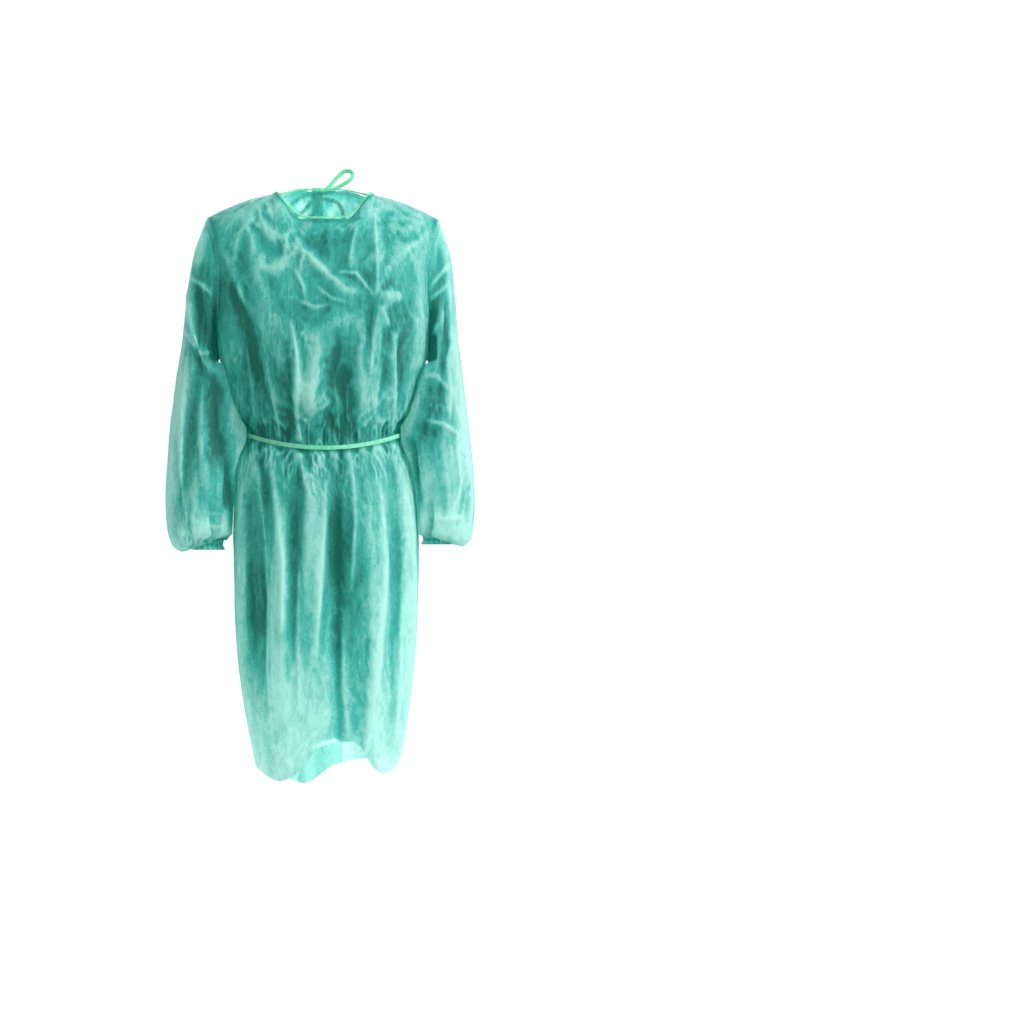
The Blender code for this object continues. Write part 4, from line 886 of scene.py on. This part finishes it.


def paintedFoldShading(grid, normal, closed):
    # painted highlight along sharp ridges and painted shade in troughs
    total = np.zeros(grid.shape[:2])
    for reach, size, gain in paintedFoldSteps:
        if closed:
            beside = (np.roll(grid, reach, axis=1) + np.roll(grid, -reach, axis=1)) / 2
        else:
            wide = np.pad(grid, ((0, 0), (reach, reach), (0, 0)), mode="edge")
            beside = (wide[:, :-2 * reach] + wide[:, 2 * reach:]) / 2
        tall = np.pad(grid, ((reach, reach), (0, 0), (0, 0)), mode="edge")
        beside = (beside + (tall[:-2 * reach] + tall[2 * reach:]) / 2) / 2
        bend = ((grid - beside) * normal).sum(axis=2)
        bend = bend - bend.mean()
        total += gain * np.tanh(bend / size)
    return total


bodyPieces = {
    "front": {"grid": (42, 26), "samples": (250, 290), "facing": -1, "sides": ("start", "end"),
              "free": None, "flat": (0.60, 1.15), "area": 0.60},
    "back_left": {"grid": (21, 26), "samples": (140, 290), "facing": 1, "sides": ("end",),
                  "free": "start", "flat": (0.40, 1.18), "area": 0.36},
    "back_right": {"grid": (21, 26), "samples": (140, 290), "facing": 1, "sides": ("start",),
                   "free": "end", "flat": (0.40, 1.15), "area": 0.36},
}
sleevePieces = {
    "sleeve_left": {"grid": (24, 18), "samples": (130, 170), "flat": (0.48, 0.56), "area": 0.215},
    "sleeve_right": {"grid": (24, 18), "samples": (130, 170), "flat": (0.48, 0.56), "area": 0.215},
}
sleeveFlat = (0.020, 0.010)   # how far the armhole's seam and the cuff's keep the creases down
lapHeld = (0.085, 0.115)   # how far from a free edge the two back panels may lie on each other
seamFlat = 0.016           # how far a seam keeps the creases down, and the belt
beltFlat = (0.003, 0.014)


def bodyRelief(grid, facts, normal):
    belt = nearBelt(grid)
    gathered = np.exp(-belt / crinkle["gatherFade"])
    creases = frontCreases if facts["facing"] < 0 else backCreases
    height = creaseHeight(grid, normal, facts["facing"], creases) + crinkleHeight(grid, gathered)
    away = fromEdges(grid, facts["sides"], True)
    height *= smoothStep(away, 0, seamFlat) * smoothStep(belt, *beltFlat)
    return grid + normal * height[..., None], belt


def bodyForm(nodeName, coarse, samples):
    grid = finer(coarse, *samples, rowKnots=rowKnots)
    return grid, outwards(grid, nodeName)


def bodySettling(nodeName):
    facts = bodyPieces[nodeName]
    coarse = sheetGrid(nodeName, *facts["grid"])
    samples = [max(12, int(knotsAlong(coarse, k)[-1] / settle["spacing"])) for k in (1, 0)]
    grid, normal = bodyForm(nodeName, coarse, samples)
    start, belt = bodyRelief(grid, facts, normal)
    pinned = 1 - smoothStep(fromEdges(grid, facts["sides"], True), *settle["seamHeld"])
    pinned = np.maximum(pinned, 1 - smoothStep(belt, *settle["beltHeld"]))
    if facts["free"]:
        lap = fromEdges(grid, (facts["free"],), False)
        pinned = np.maximum(pinned, 1 - smoothStep(lap, *lapHeld))
    startSettling(nodeName, start, pinned)
    return coarse


def finishPiece(piece, nodeName):
    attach(piece, "root")
    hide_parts(nodeName)


edgeFade = 0.03   # the way from an edge over which the painted shading of the folds comes in
# how much painted light makes each side paler, and how much painted shade deepens the side of a sleeve
# that faces the body
paintedSideAmounts = {"left": 0.05, "right": 0.03, "sleeve": 0.12, "inSleeve": 0.10}


def bodyPiece(nodeName, coarse, move):
    facts = bodyPieces[nodeName]
    grid, normal = bodyForm(nodeName, coarse, facts["samples"])
    shaped, _ = bodyRelief(grid, facts, normal)
    shaped = shaped + spread(move, *facts["samples"], False)
    finished[nodeName] = shaped
    edge = smoothStep(fromEdges(grid, ("start", "end"), True), 0, edgeFade)
    # painted highlight on fold ridges, painted shade in troughs, painted blobs of light and shade, and
    # painted paler sides
    folded = paintedFoldShading(shaped, normal, False) * edge
    paintedSpots = frontPaintedShading if facts["facing"] < 0 else backPaintedShading
    folded += paintedShadingAt(grid, normal, facts["facing"], paintedSpots)
    folded += paintedSideShading(normal, 1, paintedSideAmounts["left"]) + paintedSideShading(normal, -1, paintedSideAmounts["right"])
    values = {"fromSeam": fromEdges(grid, facts["sides"], True), "folded": folded}
    piece = meshFromGrid(nodeName + "_cloth", shaped, clothFinish, False, values)
    finishPiece(piece, nodeName)


leaning = {
    "gap": 0.0020,       # left between the sleeve and the body or the belt
    "most": 0.030,       # the furthest that the sleeve's inner side fills out
    "from": -0.318,      # height at which it starts, below the armhole, and ends, above the cuff
    "to": -0.675,
    "fade": 0.018,
    "cell": 0.010,       # size of the squares in which the body's reach is read
    "read": (-0.30, -0.70, 0.08),    # the highest and lowest of them, and how far to front and back
    "back": 0.010,       # the furthest that it gives way where the body is too close
    "beltSamples": 400,
}
finished = {}


def bodyReach(hand):
    # how far the finished body reaches to one side, by height and by depth
    cell = leaning["cell"]
    top, bottom, deep = leaning["read"]
    heights = np.arange(top, bottom - cell / 2, -cell)
    depths = np.arange(-deep, deep + cell / 2, cell)
    girdle = sheetGrid("belt", 1, len(beltPoints) // 2 - 1)
    run = knotsAlong(girdle, 0)
    girdle = cubicThrough(girdle, run, np.linspace(0, run[-1], leaning["beltSamples"]))
    points = np.concatenate([grid.reshape(-1, 3) for grid in (*finished.values(), girdle)])
    points = points[points[:, 0] * hand > deep]
    reach = np.zeros((len(heights), len(depths)))
    for i, z in enumerate(heights):
        level = points[np.abs(points[:, 2] - z) < cell]
        for j, y in enumerate(depths):
            near = level[np.abs(level[:, 1] - y) < cell]
            if len(near):
                reach[i, j] = (near[:, 0] * hand).max()
    return heights, depths, reach


def innerSide(grid, normal, hand):
    # 1 where the sleeve faces the body, 0 elsewhere
    z = -grid[..., 2]
    window = smoothStep(z, -leaning["from"], leaning["fade"] - leaning["from"])
    window = window * (1 - smoothStep(z, -leaning["to"] - leaning["fade"], -leaning["to"]))
    return smoothStep(-normal[..., 0] * hand, 0.0, 0.75) * window


def lean(shaped, beside, hand):
    # the sleeve's inner side fills out until it all but touches the body
    heights, depths, reach = bodyReach(hand)
    row = np.clip((heights[0] - shaped[..., 2]) / leaning["cell"], 0, len(heights) - 1.001)
    column = np.clip((shaped[..., 1] - depths[0]) / leaning["cell"], 0, len(depths) - 1.001)
    i, j = row.astype(int), column.astype(int)
    s, t = row - i, column - j
    met = ((1 - s) * (1 - t) * reach[i, j] + s * (1 - t) * reach[i + 1, j]
           + (1 - s) * t * reach[i, j + 1] + s * t * reach[i + 1, j + 1])
    room = shaped[..., 0] * hand - met - leaning["gap"]
    inwards = np.clip(room, 0, leaning["most"]) * beside
    away = np.maximum(room, -leaning["back"]) * smoothStep(beside, 0.02, 0.2)
    leant = shaped.copy()
    leant[..., 0] -= hand * np.where((beside > 0.02) & (room < 0), away, inwards)
    return leant


def sleeveRelief(grid, normal, beside):
    down = np.linalg.norm(np.diff(grid, axis=0), axis=2).mean(axis=1)
    down = np.concatenate([[0], np.cumsum(down)])[:, None]
    left = down[-1] - down
    gathered = np.exp(-left / crinkle["cuffFade"]) * np.ones(grid.shape[:2])
    height = (creaseHeight(grid, normal, -1, sleeveCreases[-1])
              + creaseHeight(grid, normal, 1, sleeveCreases[1]) + crinkleHeight(grid, gathered))
    height *= smoothStep(down, 0, sleeveFlat[0]) * smoothStep(left, 0, sleeveFlat[1])
    height = np.where(height > 0, height * (1 - 0.9 * smoothStep(beside, 0.2, 0.9)), height)
    return grid + normal * height[..., None], down, left


def sleeveSettling(nodeName):
    coarse = ringGrid(nodeName, *sleevePieces[nodeName]["grid"])
    girth = np.linalg.norm(np.diff(coarse, axis=1), axis=2).sum(axis=1).mean()
    samples = [int(way / settle["spacing"]) for way in (girth, knotsAlong(coarse, 0)[-1])]
    grid = finer(coarse, *samples, closed=True)
    normal = outwards(grid, nodeName, True)
    beside = innerSide(grid, normal, 1 if "left" in nodeName else -1)
    start, down, left = sleeveRelief(grid, normal, beside)
    loose = smoothStep(down, *settle["seamHeld"]) * smoothStep(left, *settle["cuffHeld"])
    pinned = np.maximum((1 - loose) * np.ones(grid.shape[:2]), smoothStep(beside, 0.3, 0.9))
    startSettling(nodeName, start, pinned, True)
    return coarse


def sleevePiece(nodeName, coarse, move):
    facts = sleevePieces[nodeName]
    grid = finer(coarse, *facts["samples"], closed=True)
    normal = outwards(grid, nodeName, True)
    hand = 1 if "left" in nodeName else -1
    beside = innerSide(grid, normal, hand)
    shaped, down, left = sleeveRelief(grid, normal, beside)
    shaped = lean(shaped + spread(move, *facts["samples"], True), beside, hand)
    seam = np.minimum(down, left) * np.ones(grid.shape[:2])
    # painted highlight on fold ridges, painted shade in troughs, painted blobs, a painted paler outer
    # side and painted shade facing the body
    folded = paintedFoldShading(shaped, normal, True) * smoothStep(seam, 0, edgeFade)
    for facing in (-1, 1):
        folded += paintedShadingAt(grid, normal, facing, sleevePaintedShading[facing])
    folded += paintedSideShading(normal, hand, paintedSideAmounts["sleeve"])
    folded -= paintedSideShading(normal, -hand, paintedSideAmounts["inSleeve"])
    values = {"fromSeam": seam, "folded": folded}
    piece = meshFromGrid(nodeName + "_cloth", shaped, clothFinish, True, values)
    finishPiece(piece, nodeName)


cuffPieces = {
    "cuff_left": {"grid": (48, 3), "samples": (432, 26), "flat": (0.20, 0.017)},
    "cuff_right": {"grid": (48, 3), "samples": (432, 26), "flat": (0.20, 0.017)},
}
cuffPleats = {
    "deep": 0.0011,
    "turns": (53, 31),       # pleats all round, coarse ones over fine ones
    "elasticAt": 0.45,       # place of the elastic down the casing, and its width, as shares
    "elasticWide": 0.16,
    "elasticPull": 0.0012,
}


def cuffPiece(nodeName):
    facts = cuffPieces[nodeName]
    grid = finer(ringGrid(nodeName, *facts["grid"]), *facts["samples"], closed=True)
    normal = outwards(grid, nodeName, True)
    rows, columns = grid.shape[:2]
    down = np.linspace(0, 1, rows)[:, None]
    turn = np.linspace(0, 2 * math.pi, columns, endpoint=False)[None]
    first, second = cuffPleats["turns"]
    pleats = np.abs(np.sin(first * turn / 2)) - 0.9
    pleats = pleats + 0.6 * np.abs(np.sin(second * turn / 2 + 2 * down))
    height = pleats * cuffPleats["deep"] * smoothStep(down, 0, 0.2)
    fromElastic = (down - cuffPleats["elasticAt"]) / cuffPleats["elasticWide"]
    height = height - cuffPleats["elasticPull"] * np.exp(-fromElastic ** 2)
    shaped = grid + normal * height[..., None]
    # painted highlight on the pleats' ridges and painted shade between them
    values = {"fromSeam": np.full((rows, columns), 1.0), "folded": paintedFoldShading(shaped, normal, True)}
    piece = meshFromGrid(nodeName + "_cloth", shaped, clothFinish, True, values)
    finishPiece(piece, nodeName)


rowKnots = knotsAlong(sheetGrid("front", *bodyPieces["front"]["grid"]), 0)
forms = {}
for bodyNode in bodyPieces:
    forms[bodyNode] = bodySettling(bodyNode)
for sleeveNode in sleevePieces:
    forms[sleeveNode] = sleeveSettling(sleeveNode)
moved = settleAll()
print("cloth settled")
for bodyNode in bodyPieces:
    bodyPiece(bodyNode, forms[bodyNode], moved[bodyNode])
for sleeveNode in sleevePieces:
    sleevePiece(sleeveNode, forms[sleeveNode], moved[sleeveNode])
for cuffNode in cuffPieces:
    cuffPiece(cuffNode)
print("body, sleeves and cuffs made")


# strips: each runs along its solid, folded double with the fold on one edge

stripNodes = ["belt", "belt_loop_left", "belt_loop_right", "belt_tail_left", "belt_tail_right",
              "neck_loop_left", "neck_loop_right", "neck_tail_left", "neck_tail_right"]


def stripPath(nodeName):
    points, _ = outerSkin(nodeName)
    return sheetGrid(nodeName, 1, len(points) // 2 - 1)


stripFold = {
    "flatWidth": 0.017,       # of the strip before it is folded
    "gap": 0.0011,            # between its two layers
    "bulge": (0.28, 0.10),    # how round the upper and the lower layer are, as shares of the gap
    "foldAt": -0.86,          # where the fold starts to round, as a share of the half width
    "foldRound": 0.10,
    "under": 0.0007,          # the middle lies this far under the solid's outer skin
    "wave": (0.0003, 0.021),  # height and length of a faint waviness
    "spacing": 0.0025,        # of the points along the strip
}


def foldedStrip(name, grid, material):
    # from a run of pairs of points: the middle line, the way across and the way out of each
    knots = knotsAlong(grid, 0)
    length = knots[-1]
    count = max(8, int(length / stripFold["spacing"]))
    places = np.linspace(0, length, count + 1)
    dense = cubicThrough(grid, knots, places)
    middle = dense.mean(axis=1)
    across = dense[:, 1] - dense[:, 0]
    half = np.linalg.norm(across, axis=1, keepdims=True) / 2
    across = across / (2 * half)
    along = np.gradient(middle, axis=0)
    along /= np.linalg.norm(along, axis=1, keepdims=True)
    out = np.cross(across, along)
    middle = middle - out * stripFold["under"]
    height, waveLength = stripFold["wave"]
    wave = height * np.sin(places / waveLength + len(name))[:, None]
    foldAt, turned = stripFold["foldAt"], stripFold["foldRound"]
    upper, lower = stripFold["bulge"]
    section = [(t, 0.5 + upper * (1 - t * t)) for t in np.linspace(1.0, foldAt, 7)]
    for angle in (60, 0, -60):
        angle = math.radians(angle)
        section.append((turned - 1 - turned * math.cos(angle), 0.5 * math.sin(angle)))
    section += [(t, -0.5 - lower * (1 - t * t)) for t in np.linspace(foldAt, 1.0, 7)]
    rows = []
    for a, b in section:
        rows.append(middle + across * half * a + out * (stripFold["gap"] * b + wave * (1 - a * a)))
    return meshFromGrid(name, np.stack(rows, axis=1), material), length


for stripNode in stripNodes:
    ribbon, ribbonLength = foldedStrip(stripNode + "_strip", stripPath(stripNode), stripFinish)
    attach(ribbon, "root")
    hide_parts(stripNode)
    print("strip", stripNode, round(ribbonLength, 3))
print("strips made")


# the neck binding: a strip folded over the neck's edge, read as rings of five points

bindingFold = {
    "ring": 5,               # points of the solid round the binding
    "around": 17,            # and of the sheet
    "samplesPerMm": 0.6,
    "smoothings": 2,
    "stitchWave": (0.00015, 0.0035),    # height and length of the puckers that the stitches make
}


def bindingRings():
    mesh = bmesh.new()
    mesh.from_mesh(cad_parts["neck_binding"].data)
    bmesh.ops.remove_doubles(mesh, verts=mesh.verts, dist=1e-6)
    bmesh.ops.triangulate(mesh, faces=mesh.faces[:])
    mesh.verts.index_update()
    points = np.array([tuple(v.co) for v in mesh.verts])
    triangles = [[v.index for v in f.verts] for f in mesh.faces]
    mesh.free()
    thirds = neighboursByEdge(triangles)
    ringSize = bindingFold["ring"]
    rings = len(points) // ringSize
    for v in range(len(points)):
        fan = [t for t in triangles if v in t]
        for first in fan:
            ring = ringFrom(fan, v, first, ringSize)
            walked = walkRings(thirds, ring, rings) if ring else None
            if walked:
                return points[np.array(walked)]
    raise RuntimeError("the neck binding's rings were not found")


def ringFrom(fan, v, first, ringSize):
    # the outline of a fan of triangles round one corner of an end face
    after = {t[(t.index(v) + 1) % 3]: t[(t.index(v) + 2) % 3] for t in fan}
    start = first[(first.index(v) + 1) % 3]
    ring = [v, start]
    while len(ring) < ringSize:
        if ring[-1] not in after or after[ring[-1]] in ring:
            return None
        ring.append(after[ring[-1]])
    return ring


def walkRings(thirds, ring, rings):
    # from one ring to the next, or None where the first wasn't a true ring
    walked, used = [ring], set(ring)
    for i in range(rings - 1):
        last = walked[-1]
        start = third(thirds, last[0], last[1], used)
        beyond = None if start is None else third(thirds, last[0], start, used | {last[1]})
        found = None
        for first in {start, beyond}:
            if first is None:
                continue
            row = nextRow(thirds, last + [last[0]], first, used)
            if row and row[0] == row[-1] and len(set(row)) == len(ring):
                found = row[:-1]
                break
        if found is None:
            return None
        used.update(found)
        walked.append(found)
    return walked


def neckBinding():
    rings = bindingRings()
    for again in range(bindingFold["smoothings"]):
        rings[1:-1] = 0.25 * rings[:-2] + 0.5 * rings[1:-1] + 0.25 * rings[2:]
    # the fold is open below, between its two lowest points, where the cloth's edge goes in
    low = [int(k) for k in np.argsort(rings[..., 2].mean(axis=0))[:2]]
    opened = min(low) if abs(low[0] - low[1]) == 1 else max(low)
    profile = np.roll(rings, -(opened + 1), axis=1)
    closedPath = knotsAlong(profile, 0)
    samples = int(closedPath[-1] * 1000 * bindingFold["samplesPerMm"])
    dense = cubicThrough(profile, closedPath, np.linspace(0, closedPath[-1], samples + 1))
    spots = knotsAlong(dense, 1)
    around = np.linspace(0, spots[-1], bindingFold["around"])
    dense = cubicThrough(np.swapaxes(dense, 0, 1), spots, around)
    dense = np.swapaxes(dense, 0, 1)
    run = np.linspace(0, closedPath[-1], samples + 1)
    height, waveLength = bindingFold["stitchWave"]
    wave = height * np.sin(run / waveLength)[:, None, None]
    centre = dense.mean(axis=1, keepdims=True)
    out = dense - centre
    out /= np.linalg.norm(out, axis=2, keepdims=True)
    piece = meshFromGrid("neck_binding_strip", dense + out * wave, stripFinish)
    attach(piece, "root")
    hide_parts("neck_binding")


neckBinding()

# each knot is the strip wound round itself

knotWinding = {
    "turns": 2.6,
    "turnOver": 2.3,         # how far the turns tip over from the first to the last
    "inset": 0.93,           # size of the knot, as a share of its solid's
    "reach": (0.80, 0.16),   # how far out the first turn lies, and how much more the last one
    "wide": 0.0066,
    "thick": 0.0011,
    "flatWidth": 0.014,
    "samples": 150,
}


def knotPiece(nodeName):
    points = np.array([tuple(v.co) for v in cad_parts[nodeName].data.vertices])
    middle = (points.min(axis=0) + points.max(axis=0)) / 2
    half = (points.max(axis=0) - points.min(axis=0)) / 2 * knotWinding["inset"]
    count = knotWinding["samples"]
    share = np.linspace(0, 1, count + 1)
    turn = 2 * math.pi * knotWinding["turns"] * share
    tilt = knotWinding["turnOver"] * (share - 0.5)
    level = np.stack([np.cos(turn), np.sin(turn), np.zeros_like(turn)], axis=1)
    first = np.stack([np.cos(tilt), np.zeros_like(tilt), np.sin(tilt)], axis=1)
    second = np.array([0.0, 1.0, 0.0])
    direction = level[:, :1] * first + level[:, 1:2] * second
    nearest, further = knotWinding["reach"]
    path = direction * (nearest + further * share[:, None])
    along = np.gradient(path * half, axis=0)
    along /= np.linalg.norm(along, axis=1, keepdims=True)
    across = np.cross(direction * half, along)
    across /= np.linalg.norm(across, axis=1, keepdims=True)
    out = np.cross(along, across)
    out *= np.sign((out * direction).sum(axis=1, keepdims=True))
    wide, thick = knotWinding["wide"] / 2, knotWinding["thick"] / 2
    section = [(t, 1 - 0.25 * t * t) for t in np.linspace(1, -1, 9)]
    section += [(t, -1 + 0.1 * t * t) for t in np.linspace(-1, 1, 9)[1:]]
    base = middle + path * half
    rows = [base + across * wide * a + out * thick * b for a, b in section]
    grid = np.stack(rows, axis=1)
    low, high = points.min(axis=0), points.max(axis=0)
    grid = np.clip(grid, low, high)
    length = float(knotsAlong(base[:, None, :].repeat(2, axis=1), 0)[-1])
    piece = meshFromGrid(nodeName + "_strip", grid, stripFinish)
    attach(piece, "root")
    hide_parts(nodeName)
    print("knot", nodeName, round(length, 3))


knotPiece("neck_knot")
knotPiece("belt_knot")


# floor, light and camera

stage = {
    "floorZ": -1.55,
    "radius": 9.0,
    "sweep": 3.0,         # radius of the round rise from the floor to the wall
    "wall": 9.0,
    "parts": 96,
    "colour": "f4f4f2",
    "lit": 0.70,          # evens out the light over the whole ground
}


def studio():
    material, tree = newMaterial("mattPaintedFloor")
    surface = addNode(tree, "ShaderNodeBsdfPrincipled",
                      {"Base Color": linear(stage["colour"]), "Roughness": 0.9,
                       "Emission Color": (1, 1, 1, 1), "Emission Strength": stage["lit"]})
    addNode(tree, "ShaderNodeOutputMaterial", {"Surface": surface.outputs[0]})
    sweep, flatTo = stage["sweep"], stage["radius"] - stage["sweep"]
    profile = [(0.0, 0.0), (flatTo, 0.0)]
    profile += [(flatTo + sweep * math.sin(a), sweep - sweep * math.cos(a))
                for a in np.linspace(0.1, math.pi / 2, 12)]
    profile.append((stage["radius"], stage["wall"]))
    angle = np.linspace(0, 2 * math.pi, stage["parts"], endpoint=False)
    rings = []
    for radius, height in profile:
        rings.append(np.stack([radius * np.cos(angle), radius * np.sin(angle),
                               np.full(stage["parts"], stage["floorZ"] + height)], axis=-1))
    grid = np.stack(rings)
    grid[0, :, :2] += 1e-4 * np.stack([np.cos(angle), np.sin(angle)], axis=-1)
    floor = meshFromGrid("studioFloor", grid[:, ::-1], material, True)
    floor.visible_diffuse = False
    floor.visible_shadow = False


studio()

lights = {
    "key": {"at": (2.9, -2.1, 1.0), "size": 0.8, "power": 160, "aim": (0, 0, -0.55)},
    "fill": {"at": (-2.4, -2.6, 0.1), "size": 2.2, "power": 10, "aim": (0, 0, -0.6)},
    "behind": {"at": (-0.4, 3.0, 0.9), "size": 2.4, "power": 140, "aim": (0, 0, -0.6)},
}


def areaLight(name):
    facts = lights[name]
    data = bpy.data.lights.new(name, "AREA")
    data.shape = "SQUARE"
    data.size = facts["size"]
    data.energy = facts["power"]
    light = bpy.data.objects.new(name, data)
    bpy.context.scene.collection.objects.link(light)
    light.location = facts["at"]
    aim = Vector(facts["aim"]) - Vector(facts["at"])
    light.rotation_mode = "QUATERNION"
    light.rotation_quaternion = aim.to_track_quat("-Z", "Y")


for lightName in lights:
    areaLight(lightName)

airStrength = 0.36   # even light from all round
world = bpy.data.worlds.new("studioAir")
world.use_nodes = True
background = world.node_tree.nodes["Background"]
background.inputs["Color"].default_value = (1, 1, 1, 1)
background.inputs["Strength"].default_value = airStrength
bpy.context.scene.world = world
bpy.context.scene.view_settings.view_transform = "Standard"

cameraFacts = {"lens": 85.0, "sensor": 36.0, "turn": 4.46}
cameraData = bpy.data.cameras.new("camera")
cameraData.lens = cameraFacts["lens"]
cameraData.sensor_width = cameraFacts["sensor"]
camera = bpy.data.objects.new("camera", cameraData)
bpy.context.scene.collection.objects.link(camera)
camera.location = (0, -photo["distance"], photo["cameraZ"])
camera.rotation_euler = (math.radians(90), 0, -math.radians(cameraFacts["turn"]))
bpy.context.scene.camera = camera
print("stage made")
